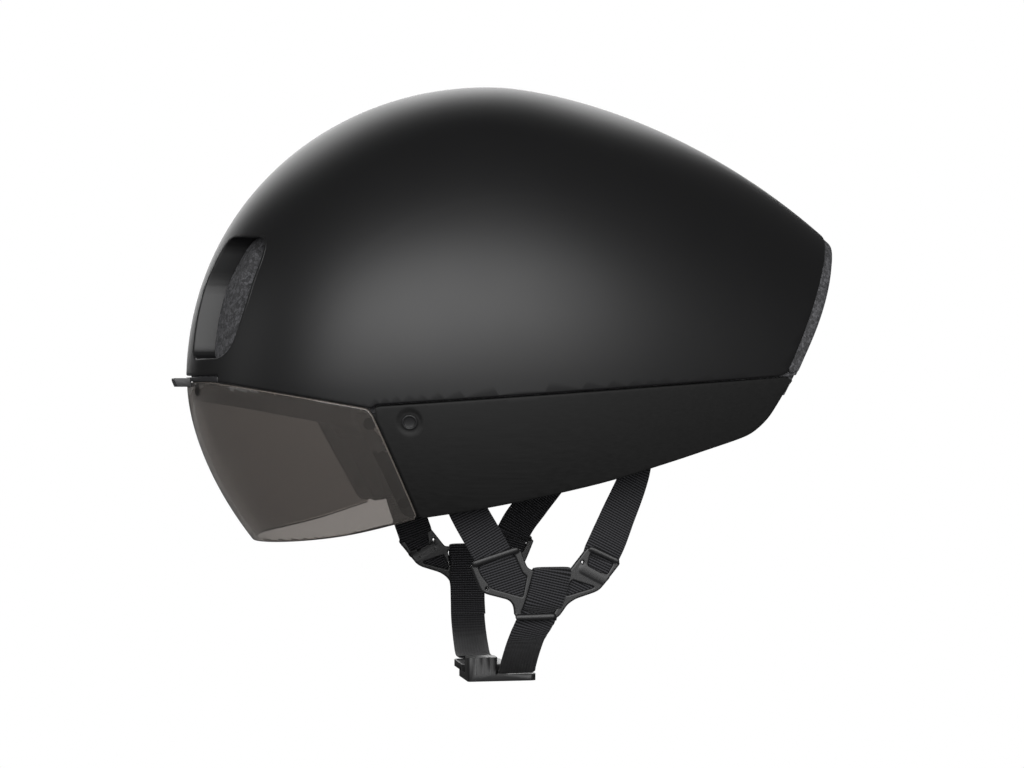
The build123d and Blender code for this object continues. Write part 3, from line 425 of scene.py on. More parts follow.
@dataclass(frozen=True)
class KnitPad(Finish):
    """Brushed polyester knit bonded to foam: small loops under a soft nap that catches the light at its edges."""

    loop: float = 1.1
    nap: float = 0.6

    def dress(self, tree: bpy.types.NodeTree, shader: bpy.types.Node, place: bpy.types.NodeSocket) -> None:
        """Takes the loops' cells from fine noise for a height; low places are painted darker as shade.

        Args:
            tree: the material's node tree.
            shader: its shader.
            place: the object's coordinates.
        """
        cells = add_node(tree, "ShaderNodeTexVoronoi", {"Scale": per_metre(self.loop)}, {"Vector": place})
        nap = add_node(tree, "ShaderNodeTexNoise", {"Scale": per_metre(self.nap), "Detail": 3.0}, {"Vector": place})
        height = add_node(tree, "ShaderNodeMath", {"operation": "MULTIPLY_ADD", 1: -0.6},
                          {0: cells.outputs["Distance"], 2: nap.outputs[0]})
        add_node(tree, "ShaderNodeBump", {"Strength": 0.8, "Distance": 0.2 * MM}, {"Height": height.outputs[0]},
                 into=shader.inputs["Normal"])
        # Painted shade: the low places between the loops are darker.
        add_node(tree, "ShaderNodeValToRGB", links={"Fac": height.outputs[0]},
                 stops=((0.0, "121213"), (0.7, self.colour)), into=shader.inputs["Base Color"])
        shader.inputs["Sheen Weight"].default_value = 0.5


SHELL = MatteLacquer("lacquered_polycarbonate", "101011", 0.44)
COVER = BrushedMoulding("brushed_abs", "0c0c0c", 0.62)
FOAM = BeadFoam("bead_foam", "4b4b4d", 0.85)
LENS = ClearSheet("smoke_polycarbonate", "8b8682", 0.0)
# The lens edge's paler colour is a painted highlight, not the sheet's own tint.
LENS_EDGE_HIGHLIGHT = LensEdge("polished_lens_edge", "a39b93", 0.3)
# Acetal is waxy and a little brighter than nylon, the clip is a paler mix, and the grip is flat soft rubber.
ACETAL = Moulded("acetal_satin", "1b1b1c", 0.38, 0.7, 0.01)
NYLON = Moulded("nylon_moulding", "1c1c1d", 0.5, 0.5, 0.02)
CLIP = Moulded("clip_moulding", "2a2a2c", 0.42, 0.5, 0.015)
RUBBER = Moulded("soft_grip_rubber", "161617", 0.7, 0.6, 0.03)
STEEL = PlatedSteel("plated_steel", "a9a9ab", 0.25)
COATED_STEEL = OxideCoat("black_coated_steel", "080808", 0.7)
WEBBING = Webbing("nylon_webbing", "1a1a1c", 0.75)
KNIT = KnitPad("brushed_knit", "232325", 0.9)


# The helmet's form


@dataclass(frozen=True)
class HelmetForm:
    """The helmet's outer form, as heights, reaches and powers of its section curves."""

    crown_height: float = 140.1
    crown_station: float = 18.0
    nose_reach: float = 143.5
    tail_reach: float = 217.0
    half_breadth: float = 104.0
    breadth_level: float = 20.0
    chin_depth: float = 138.0
    nape_depth: float = 160.0
    breadth_depth: float = 136.0
    tail_narrowing: float = 0.30
    nose_level_power: float = 2.09
    nose_reach_power: float = 2.017
    tail_level_power: float = 1.404
    tail_reach_power: float = 1.704
    under_power: float = 1.70
    fan_depth: float = 92.0
    fan_core: float = 12.0
    angle_step: float = 2e-3
    place_step: float = 0.3

    def half_width(self, x: Array, z: Array, inset: float = 0.0) -> Array:
        """Half width of the form, drawn in by an inset, at places of the side view; 0 outside it.

        The outline at each height runs from a front end to a rear end by superellipses. Along it the width is
        that of an ellipse whose middle is pulled to the crown's station, and it narrows by a cube towards the tail.

        Args:
            x: stations.
            z: heights.
            inset: depth below the helmet's surface.

        Returns:
            Half widths in millimetres.
        """
        height = self.crown_height - inset
        rise = np.clip(z / height, 0, 1)
        nose_fall = np.clip(-z / self.chin_depth, 0, 1)
        tail_fall = np.clip(-z / self.nape_depth, 0, 1)
        under = self.under_power
        front = np.where(z >= 0, (1 - rise**self.nose_level_power) ** (1 / self.nose_reach_power),
                         (1 - nose_fall**under) ** (1 / under))
        rear = np.where(z >= 0, (1 - rise**self.tail_level_power) ** (1 / self.tail_reach_power),
                        (1 - tail_fall**under) ** (1 / under))
        lift = np.where(z >= self.breadth_level, (z - self.breadth_level) / (height - self.breadth_level),
                        (self.breadth_level - z) / self.breadth_depth)
        side = (self.half_breadth - inset) * np.sqrt(np.clip(1 - lift**2, 0, 1))
        front_end = self.crown_station - (self.nose_reach - inset) * front
        rear_end = self.crown_station + (self.tail_reach - inset) * rear
        middle = (front_end + rear_end) / 2
        half = (rear_end - front_end) / 2
        skew = middle - self.crown_station
        root = np.sqrt(np.clip(half**2 - 4 * skew * (self.crown_station - x), 0, None))
        along = np.clip(2 * (x - self.crown_station) / (root + half + TINY), -1, 1)
        narrowing = 1 - self.tail_narrowing * ((1 + along) / 2) ** 3
        inside = (x > front_end) & (x < rear_end) & (z < height)
        return np.where(inside, side * np.sqrt(1 - along**2) * narrowing, 0)

    def fan_reach(self, angle: Array, inset: float = 0.0) -> Array:
        """Distance from the fan's hinge to the crown line at each angle, by halving.

        Args:
            angle: fan angles in radians.
            inset: depth below the helmet's surface.

        Returns:
            Distances in millimetres.
        """
        near = np.full_like(angle, self.fan_core)
        far = np.full_like(angle, self.tail_reach + self.fan_depth)
        for _ in range(HALVINGS):
            middle = (near + far) / 2
            x = self.crown_station + middle * np.cos(angle)
            z = middle * np.sin(angle) - self.fan_depth
            inside = self.half_width(x, z, inset) > 0
            near = np.where(inside, middle, near)
            far = np.where(inside, far, middle)
        return near

    def place(self, angle: Array, arch: Array, inset: float = 0.0) -> Array:
        """Places on the form: a fan angle picks a ray of the side view from a hinge under the head, and the cosine
        of the arch angle picks the distance along it, so that arch runs from one side over the crown to the other.

        Args:
            angle: fan angles in radians.
            arch: arch angles in radians.
            inset: depth below the helmet's surface.

        Returns:
            Places, with x, y and z along the last axis.
        """
        angle, arch = np.broadcast_arrays(angle, arch)
        if angle.ndim == 2 and np.all(angle[:, :1] == angle):
            reach = self.fan_reach(angle[:, 0], inset)[:, None]
        else:
            reach = self.fan_reach(angle, inset)
        along = self.fan_core + (reach - self.fan_core) * np.cos(arch)
        x = self.crown_station + along * np.cos(angle)
        z = along * np.sin(angle) - self.fan_depth
        return np.stack([x, np.sign(arch) * self.half_width(x, z, inset), z], -1)

    def frame_at(self, angle: Array, arch: Array, inset: float = 0.0) -> tuple[Array, Array, Array, Array]:
        """Places, outward normals and the two tangents there, from differences of the place.

        Args:
            angle: fan angles in radians.
            arch: arch angles in radians.
            inset: depth below the helmet's surface.

        Returns:
            Places, outward normals and the tangents along both parameters.
        """
        step = self.angle_step
        along_angle = (self.place(angle + step, arch, inset) - self.place(angle - step, arch, inset)) / (2 * step)
        along_arch = (self.place(angle, arch + step, inset) - self.place(angle, arch - step, inset)) / (2 * step)
        places = self.place(angle, arch, inset)
        normals = unit(np.cross(along_angle, along_arch))
        centre = np.array([self.crown_station, 0.0, -self.breadth_level])
        flip = np.sign(np.sum(normals * (places - centre), -1, keepdims=True))
        return places, normals * flip, along_angle, along_arch

    def front_station(self, y: Array, z: Array, inset: float = 0.0) -> Array:
        """Station of the form's front face at places of the front view, by halving.

        Args:
            y: distances from the middle plane.
            z: heights.
            inset: depth below the helmet's surface.

        Returns:
            Stations.
        """
        near = np.full_like(y, self.crown_station)
        far = np.full_like(y, -self.nose_reach)
        for _ in range(HALVINGS):
            middle = (near + far) / 2
            wide = self.half_width(middle, z, inset) > np.abs(y)
            near = np.where(wide, middle, near)
            far = np.where(wide, far, middle)
        return near

    def side_place(self, x: float, z: float, side: Side, inset: float = 0.0) -> tuple[Array, Array]:
        """Place and outward normal on one side of the form, at a place of the side view.

        Args:
            x: station.
            z: height.
            side: which side.
            inset: depth below the helmet's surface.

        Returns:
            The place and the normal.
        """
        step = self.place_step
        y = float(self.half_width(np.array(x), np.array(z), inset))
        slope_x = float(self.half_width(np.array(x + step), np.array(z), inset)
                        - self.half_width(np.array(x - step), np.array(z), inset)) / (2 * step)
        slope_z = float(self.half_width(np.array(x), np.array(z + step), inset)
                        - self.half_width(np.array(x), np.array(z - step), inset)) / (2 * step)
        return np.array([x, side.value * y, z]), unit(np.array([-slope_x, side.value, -slope_z]))


FORM = HelmetForm()


class Surface:
    """A surface with two parameters, and a point that its outside faces away from."""

    def place(self, first: Array, second: Array) -> Array:
        """Places on the surface."""
        raise NotImplementedError

    def frame_at(self, first: Array, second: Array) -> tuple[Array, Array, Array, Array]:
        """Places, outward normals and the two tangents."""
        raise NotImplementedError


@dataclass(frozen=True)
class FormLayer(Surface):
    """The helmet's form, drawn in by an inset."""

    inset: float = 0.0

    def place(self, first: Array, second: Array) -> Array:
        """Places at fan and arch angles."""
        return FORM.place(first, second, self.inset)

    def frame_at(self, first: Array, second: Array) -> tuple[Array, Array, Array, Array]:
        """Places, outward normals and tangents at fan and arch angles."""
        return FORM.frame_at(first, second, self.inset)


@dataclass(frozen=True)
class FlatSheet(Surface):
    """An upright sheet along x at one y, which faces away from the middle of the helmet; its front may be raised.

    Args:
        level: the y of its outer face.
        rise: extra height of the face at places of the side view, or None.
    """

    level: float
    rise: Callable[[Array, Array], Array] | None = None
    step: float = 0.02

    def place(self, first: Array, second: Array) -> Array:
        """Places at stations and heights."""
        raised = 0 if self.rise is None else self.rise(first, second) * np.sign(self.level)
        return np.stack(np.broadcast_arrays(first, self.level + raised, second), -1)

    def frame_at(self, first: Array, second: Array) -> tuple[Array, Array, Array, Array]:
        """Places, outward normals and tangents at stations and heights.

        Args:
            first: stations.
            second: heights.

        Returns:
            Places, outward normals and the tangents along both parameters.
        """
        step = self.step
        along_x = (self.place(first + step, second) - self.place(first - step, second)) / (2 * step)
        along_z = (self.place(first, second + step) - self.place(first, second - step)) / (2 * step)
        normals = unit(np.cross(along_x, along_z))
        return self.place(first, second), normals * np.sign(normals[..., 1:2] * self.level), along_x, along_z


def unit(vectors: Array) -> Array:
    """Vectors made one long, along their last axis."""
    return vectors / np.maximum(np.linalg.norm(vectors, axis=-1, keepdims=True), TINY)


def lines(low: float, high: float, step: float, fine: tuple[tuple[float, float, float], ...] = ()) -> Array:
    """Grid lines from low to high with finer steps in some ranges.

    Args:
        low: first line.
        high: last line.
        step: common spacing.
        fine: ranges of low, high and their own spacing.

    Returns:
        Sorted line values.
    """
    base = np.arange(low, high + step / 2, step)
    for start, end, small in fine:
        base = base[(base < start - step / 3) | (base > end + step / 3)]
        base = np.concatenate([base, np.arange(start, end + small / 2, small)])
    return np.sort(base)


def turned_lines(first: float, last: float, step: float) -> Array:
    """Grid lines in radians, from the first and last angle and the step in degrees."""
    return lines(first * DEG, last * DEG, step * DEG)


def inside_distance(outline: Array, first: Array, second: Array) -> Array:
    """Distance of places of a view from a closed outline, positive inside it.

    The distance is the least one to the outline's segments, and its sign comes from how often a ray crosses them.

    Args:
        outline: the outline's corners, (n, 2).
        first: first coordinates of the places.
        second: their second coordinates.

    Returns:
        Signed distances.
    """
    start, end = outline, np.roll(outline, -1, 0)
    best = np.full(first.shape, 1e9)
    odd = np.zeros(first.shape, bool)
    for (ax, az), (bx, bz) in zip(start, end):
        dx, dz = bx - ax, bz - az
        share = np.clip(((first - ax) * dx + (second - az) * dz) / (dx * dx + dz * dz), 0, 1)
        best = np.minimum(best, np.hypot(first - ax - share * dx, second - az - share * dz))
        crosses = (az > second) != (bz > second)
        odd ^= crosses & (first < ax + (second - az) * dx / (dz if dz else TINY))
    return np.where(odd, best, -best)


def rounded(outline: list[tuple[float, float]], radius: float, steps: int = 5) -> Array:
    """Closed outline with each corner replaced by a quadratic curve that starts and ends a radius from it.

    Args:
        outline: corners in order.
        radius: distance from a corner to where its curve starts.
        steps: places on each curve.

    Returns:
        The outline's places, (n, 2).
    """
    corners = np.array(outline)
    before, after = np.roll(corners, 1, 0) - corners, np.roll(corners, -1, 0) - corners
    reach_in = np.minimum(radius, np.linalg.norm(before, axis=1, keepdims=True) * 0.49)
    reach_out = np.minimum(radius, np.linalg.norm(after, axis=1, keepdims=True) * 0.49)
    first, last = corners + unit(before) * reach_in, corners + unit(after) * reach_out
    share = np.linspace(0, 1, steps)[:, None, None]
    curve = (1 - share) ** 2 * first + 2 * share * (1 - share) * corners + share**2 * last
    return curve.transpose(1, 0, 2).reshape(-1, 2)


def smooth_line(points: list[tuple[float, ...]], steps: int = 8) -> Array:
    """Open curve through points: each run is a cubic whose end slopes come from the neighbours (Catmull-Rom).

    Args:
        points: the places that it goes through.
        steps: places on each run.

    Returns:
        Places along the curve.
    """
    knots = np.array(points, float)
    padded = np.concatenate([[2 * knots[0] - knots[1]], knots, [2 * knots[-1] - knots[-2]]])
    share = np.linspace(0, 1, steps, endpoint=False)[:, None, None]
    p0, p1, p2, p3 = padded[:-3], padded[1:-2], padded[2:-1], padded[3:]
    curve = 0.5 * (2 * p1 + (p2 - p0) * share + (2 * p0 - 5 * p1 + 4 * p2 - p3) * share**2
                   + (3 * p1 - p0 - 3 * p2 + p3) * share**3)
    return np.concatenate([curve.transpose(1, 0, 2).reshape(-1, knots.shape[1]), knots[-1:]])


def make_piece(name: str, vertices: Array, faces: list, finish: Finish, body: str, slot: str,
               replaces: tuple[str, ...] = (), smooth_angle: float = 40.0) -> bpy.types.Object:
    """Puts vertices in millimetres and faces into a mesh, and dresses it.

    Args:
        name: object name.
        vertices: (n, 3) places in millimetres.
        faces: lists of vertex numbers.
        finish: the finish.
        body: CAD body it rides on, or nothing for a piece that runs between two.
        slot: the record's material slot; not used.
        replaces: CAD nodes that it stands for.
        smooth_angle: edges sharper than this, in degrees, stay sharp.

    Returns:
        The object.
    """
    mesh = bpy.data.meshes.new(name)
    mesh.from_pydata((vertices * MM).tolist(), [], faces)
    mesh.validate()
    mesh.shade_smooth()
    mesh.set_sharp_from_angle(angle=smooth_angle * DEG)
    mesh.materials.append(finish.material())
    piece = bpy.data.objects.new(name, mesh)
    bpy.context.scene.collection.objects.link(piece)
    if body:
        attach(piece, body)
    if replaces:
        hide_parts(*replaces)
    log.info("%s: %d vertices, %d faces", name, len(mesh.vertices), len(mesh.polygons))
    return piece


@dataclass
class Patch:
    """The part of a grid that a test keeps, cut cleanly along the test's zero line."""

    uv: Array
    faces: list[Array]
    rim: Array

    @classmethod
    def cut(cls, u: Array, v: Array, keep: Callable[[Array, Array], Array]) -> "Patch":
        """Cuts a grid.

        Each grid edge whose ends differ in the sign of keep gets a point at its zero, found by halving, and each
        cell keeps the polygon of its kept corners and such points, in their order round the cell.

        Args:
            u: grid lines of the first parameter.
            v: grid lines of the second.
            keep: test, positive where the surface stays.

        Returns:
            The patch.
        """
        first, second = np.meshgrid(u, v, indexing="ij")
        inside = keep(first, second) > 0
        grid = np.stack([first, second], -1)

        def zeros(start: Array, end: Array, start_in: Array) -> Array:
            """Finds the zero between the ends of each cut edge, by halving.

            Args:
                start: places at one end.
                end: places at the other end.
                start_in: whether the start is kept.

            Returns:
                Places at the zeros, on the kept side.
            """
            kept = np.where(start_in[:, None], start, end)
            lost = np.where(start_in[:, None], end, start)
            for _ in range(16):
                middle = (kept + lost) / 2
                good = (keep(middle[:, 0], middle[:, 1]) > 0)[:, None]
                kept = np.where(good, middle, kept)
                lost = np.where(good, lost, middle)
            return kept

        cut_u = inside[:-1] != inside[1:]
        cut_v = inside[:, :-1] != inside[:, 1:]
        points = [grid[inside], zeros(grid[:-1][cut_u], grid[1:][cut_u], inside[:-1][cut_u]),
                  zeros(grid[:, :-1][cut_v], grid[:, 1:][cut_v], inside[:, :-1][cut_v])]
        counts = np.cumsum([0] + [len(p) for p in points])
        corner = np.full(inside.shape, -1)
        corner[inside] = np.arange(counts[0], counts[1])
        edge_u = np.full(cut_u.shape, -1)
        edge_u[cut_u] = np.arange(counts[1], counts[2])
        edge_v = np.full(cut_v.shape, -1)
        edge_v[cut_v] = np.arange(counts[2], counts[3])
        corners = [corner[:-1, :-1], corner[1:, :-1], corner[1:, 1:], corner[:-1, 1:]]
        edges = [edge_u[:, :-1], edge_v[1:], edge_u[:, 1:], edge_v[:-1]]
        code = sum((corners[k] >= 0).astype(int) << k for k in range(4))
        faces, rim = [], []
        for case in range(1, 16):
            chosen = code == case
            if not chosen.any():
                continue
            ring, leaving = [], []
            for k in range(4):
                here, there = case >> k & 1, case >> (k + 1) % 4 & 1
                if here:
                    ring.append(corners[k][chosen])
                if here != there:
                    leaving += [len(ring)] if here else []
                    ring.append(edges[k][chosen])
            faces.append(np.stack(ring, -1))
            rim += [np.stack([ring[k], ring[(k + 1) % len(ring)]], -1) for k in leaving]
        return cls(np.concatenate(points), faces, np.concatenate(rim))


@dataclass
class Skin:
    """A cut piece of a surface with a wall and finished edges.

    Args:
        u: grid lines of the surface's first parameter.
        v: grid lines of the second.
        keep: distance in millimetres inside the piece's outline, from places on the surface.
        surface: what the piece is cut from.
        wall: thickness.
        lip: radius of the edges.
        sink: depth of relief below the surface at places, or None.
        mouth: half plane test of edges that turn in along x, or None.
        mouth_depth: inset of the form where a turned-in wall ends.
        mouth_wall: thickness of a turned-in wall.
        corner_steps: rings on each quarter of an edge.
    """

    u: Array
    v: Array
    keep: Callable[[Array], Array]
    surface: Surface = FormLayer()
    wall: float = 2.0
    lip: float = 0.6
    sink: Callable[[Array], Array] | None = None
    mouth: Callable[[Array], Array] | None = None
    mouth_depth: float = 9.5
    mouth_wall: float = 1.5
    corner_steps: int = 3

    def build(self) -> tuple[Array, list]:
        """Works out the outer sheet, its rims and the inner sheet.

        A rim is a quarter of a quadratic curve from the sheet's edge over its corner and down, the wall's face, and
        the same quarter again at the inner sheet.

        Returns:
            Vertices in millimetres and faces.
        """
        patch = Patch.cut(self.u, self.v, lambda a, b: self.keep(self.surface.place(a, b)) - self.lip)
        angle, arch = patch.uv[:, 0], patch.uv[:, 1]
        places, normals, along_u, along_v = self.surface.frame_at(angle, arch)
        inward = np.sum(np.cross(along_u, along_v) * normals, -1).mean() < 0
        outer = places if self.sink is None else places - normals * self.sink(places)[:, None]
        rim = patch.rim[:, ::-1] if inward else patch.rim
        edge = np.unique(rim)
        number = np.full(len(outer), -1)
        number[edge] = np.arange(len(edge))
        out = self.outward(angle[edge], arch[edge], along_u[edge], along_v[edge])
        rings = self.rings(outer[edge], normals[edge], out)
        faces = [ring[:, ::-1] if inward else ring for ring in patch.faces]
        total = len(outer)
        previous = (rim[:, 1], rim[:, 0])
        vertices = [outer]
        for ring in rings:
            now = (total + number[rim[:, 1]], total + number[rim[:, 0]])
            faces.append(np.stack([previous[0], previous[1], now[1], now[0]], -1))
            previous = now
            vertices.append(ring)
            total += len(ring)
        if self.mouth is None:
            faces.append(np.stack([previous[0], previous[1], total + rim[:, 0], total + rim[:, 1]], -1))
            vertices.append(outer - normals * self.wall)
            faces += [(total + ring)[:, ::-1] for ring in faces[:len(patch.faces)]]
        return np.concatenate(vertices), [row for ring in faces for row in ring.tolist()]

    def outward(self, angle: Array, arch: Array, along_u: Array, along_v: Array) -> Array:
        """Direction in the surface that leaves the piece: against the gradient of keep, by the surface's metric.

        Args:
            angle: first parameters.
            arch: second parameters.
            along_u: tangents along the first.
            along_v: tangents along the second.

        Returns:
            Unit directions.
        """
        step = 1e-3 if np.ptp(angle) < 10 else 0.02

        def level(a: Array, b: Array) -> Array:
            """Distance inside the outline, at parameters."""
            return self.keep(self.surface.place(a, b))

        slope_u = (level(angle + step, arch) - level(angle - step, arch)) / (2 * step)
        slope_v = (level(angle, arch + step) - level(angle, arch - step)) / (2 * step)
        e, f, g = (np.sum(p * q, -1) for p, q in ((along_u, along_u), (along_u, along_v), (along_v, along_v)))
        across_u, across_v = g * slope_u - f * slope_v, e * slope_v - f * slope_u
        return -unit(across_u[:, None] * along_u + across_v[:, None] * along_v)

    def rings(self, edge: Array, normal: Array, out: Array) -> list[Array]:
        """Rim places, ring by ring, from the outer sheet to the inner one.

        Args:
            edge: places on the outer sheet's edge.
            normal: normals there.
            out: directions that leave the piece there.

        Returns:
            One array of places for each ring.
        """
        shares = np.linspace(0, 1, self.corner_steps + 1)[1:]

        def quarter(start: Array, corner: Array, end: Array) -> list[Array]:
            """A quadratic curve round a corner, without its start."""
            return [(1 - s) ** 2 * start + 2 * s * (1 - s) * corner + s**2 * end for s in shares]

        corner = edge + out * self.lip
        low = corner - normal * (self.wall - self.lip)
        foot = corner - normal * self.wall
        heel = edge - normal * self.wall
        plain = quarter(edge, corner, corner - normal * self.lip) + [low] + quarter(low, foot, heel)[:-1]
        if self.mouth is None:
            return plain
        turned = self.mouth(edge)[:, None] > 0
        deep = np.array([1.0, 0.0, 0.0])
        throat = corner + deep * self.lip
        end = corner.copy()
        end[:, 0] = FORM.front_station(corner[:, 1], corner[:, 2], self.mouth_depth)
        sideways = unit(out * np.array([0.0, 1.0, 1.0])) * self.mouth_wall
        mouth = quarter(edge, corner, throat) + [end, end - sideways, throat - sideways]
        plain.append(heel - out * self.lip)
        while len(mouth) < len(plain):
            mouth.append(mouth[-1] - sideways * 0.01)
        return [np.where(turned, there, here) for here, there in zip(plain, mouth)]


def mirrored(vertices: Array, faces: list) -> tuple[Array, list]:
    """A left piece mirrored to the right, with its faces turned to stay outward."""
    return vertices * np.array([1.0, -1.0, 1.0]), [face[::-1] for face in faces]


@dataclass
class Shell:
    """Outer skin with two front vents whose walls turn in, a notch for the shield's clip and a cut-off tail."""

    brow_nose: tuple[float, float] = (-125.5, 2.6)
    brow_corner: tuple[float, float] = (-52.0, -10.8)
    seam_front: tuple[float, float] = (-50.0, -9.3)
    seam_tail: tuple[float, float] = (147.0, 4.0)
    tail_cut: tuple[tuple[float, float], ...] = ((183.3, 78.0), (178.4, 71.0), (173.8, 62.6), (159.0, 33.3),
                                                 (142.4, 4.6), (130.6, -16.0))
    rim_reach: float = 6.2
    rim_overlap: float = 2.5
    rim_gap: float = 1.0
    rim_inset: float = 0.7
    rim_wall: float = 3.4
    rim_lip: float = 1.4
    rim_fan: tuple[float, float, float] = (30.0, 75.0, 0.7)
    rim_arch: tuple[float, float, float] = (-88.0, 88.0, 0.9)
    vent: tuple[tuple[float, float], ...] = ((20.0, 66.5), (50.0, 65.5), (54.5, 57.0), (56.0, 35.0), (53.5, 18.0),
                                             (47.0, 11.5), (17.0, 11.5), (13.5, 45.0))
    vent_corner: float = 6.0
    clip_half_span: float = 44.5
    clip_low: float = 1.0
    clip_high: float = 3.8
    clip_rear: float = -80.0
    vent_rear: float = -40.0
    wall: float = 2.0
    lip: float = 0.9
    seam_cosine: float = 0.98  # a rise above the seam times this is the distance from it
    tail_cosine: float = 0.87  # and a run ahead of the tail's cut times this

    def bottom(self, x: Array) -> Array:
        """Height of the shell's lower edge at each station: straight runs, sampled along x.

        Args:
            x: stations.

        Returns:
            Heights.
        """
        front = (self.brow_corner[1] - self.brow_nose[1]) / (self.brow_corner[0] - self.brow_nose[0])
        rear = (self.seam_tail[1] - self.seam_front[1]) / (self.seam_tail[0] - self.seam_front[0])
        ahead = self.brow_nose[1] + front * (x - self.brow_nose[0])
        behind = self.seam_front[1] + rear * (x - self.seam_front[0])
        share = np.clip((x - self.brow_corner[0]) / (self.seam_front[0] - self.brow_corner[0]), 0, 1)
        return ahead * (1 - share) + behind * share

    def tail(self, z: Array) -> Array:
        """Station of the tail's cut at each height: a cubic through the cut's places, run on straight above.

        Args:
            z: heights.

        Returns:
            Stations.
        """
        cut = np.array(self.tail_cut)
        cubic = np.polynomial.Polynomial.fit(cut[:, 1], cut[:, 0], 3)
        top = cut[0, 1]
        return np.where(z > top, cubic(top) + cubic.deriv()(top) * (z - top), cubic(z))

    def vent_distance(self, places: Array) -> Array:
        """Distance inside a vent's outline in the front view, far outside it on the helmet's rear.

        Args:
            places: places in millimetres.

        Returns:
            Distances, positive in a vent.
        """
        outline = rounded(list(self.vent), self.vent_corner)
        inside = inside_distance(outline, np.abs(places[..., 1]), places[..., 2])
        return np.where(places[..., 0] < self.vent_rear, inside, -FAR)

    def keep(self, places: Array) -> Array:
        """Distance inside the shell's outline.

        Args:
            places: places in millimetres.

        Returns:
            Distances, positive on the shell.
        """
        x, y, z = places[..., 0], places[..., 1], places[..., 2]
        low = (z - self.bottom(x)) * self.seam_cosine
        rear = (self.tail(z) - x) * self.tail_cosine
        notch = np.maximum(np.abs(y) - self.clip_half_span, z - self.clip_high)
        notch = np.where(x < self.clip_rear, notch, FAR)
        return np.minimum(np.minimum(low, rear), np.minimum(notch, -self.vent_distance(places)))

    def build(self) -> list[bpy.types.Object]:
        """Makes the skin and the inner sheet that closes it.

        Returns:
            The skin and the foam's rim.
        """
        angles = lines(10 * DEG, 160 * DEG, 1.3 * DEG,
                       ((123 * DEG, 148 * DEG, 0.4 * DEG), (148.4 * DEG, 153 * DEG, 0.7 * DEG)))
        arches = lines(-89 * DEG, 89 * DEG, 1.3 * DEG,
                       ((-42 * DEG, -6 * DEG, 0.5 * DEG), (6 * DEG, 42 * DEG, 0.5 * DEG)))
        skin = Skin(angles, arches, self.keep, wall=self.wall, lip=self.lip,
                    mouth=lambda places: self.vent_distance(places) + 3 * self.lip)
        vertices, faces = skin.build()
        patch = Patch.cut(lines(10 * DEG, 160 * DEG, 2 * DEG), lines(-89 * DEG, 89 * DEG, 2 * DEG),
                          lambda a, b: np.minimum(self.keep(FORM.place(a, b)) - self.lip,
                                                  -self.vent_distance(FORM.place(a, b)) - 3))
        places, normals, along_u, along_v = FORM.frame_at(patch.uv[:, 0], patch.uv[:, 1])
        inward = np.sum(np.cross(along_u, along_v) * normals, -1).mean() < 0
        inner = [(len(vertices) + (ring if inward else ring[:, ::-1])).tolist() for ring in patch.faces]
        faces += [row for ring in inner for row in ring]
        vertices = np.concatenate([vertices, places - normals * self.wall])
        return [make_piece("shell_skin", vertices, faces, SHELL, "helmet", "shell", ("outer_shell",)), self.rim()]

    def rim(self) -> bpy.types.Object:
        """Makes the foam's rounded rim behind the shell's rear edge.

        Returns:
            The rim.
        """
        def keep(places: Array) -> Array:
            """Distance inside the rim's band behind the cut.

            Args:
                places: places in millimetres.

            Returns:
                Distances, positive on the rim.
            """
            x, z = places[..., 0], places[..., 2]
            ahead, behind = x - self.tail(z) + self.rim_overlap, self.tail(z) + self.rim_reach - x
            return np.minimum(np.minimum(ahead, behind) * self.tail_cosine, z - self.bottom(x) - self.rim_gap)

        angles, arches = turned_lines(*self.rim_fan), turned_lines(*self.rim_arch)
        made = Skin(angles, arches, keep, FormLayer(self.rim_inset), self.rim_wall, self.rim_lip).build()
        return make_piece("foam_tail_rim", *made, FOAM, "helmet", "foam")


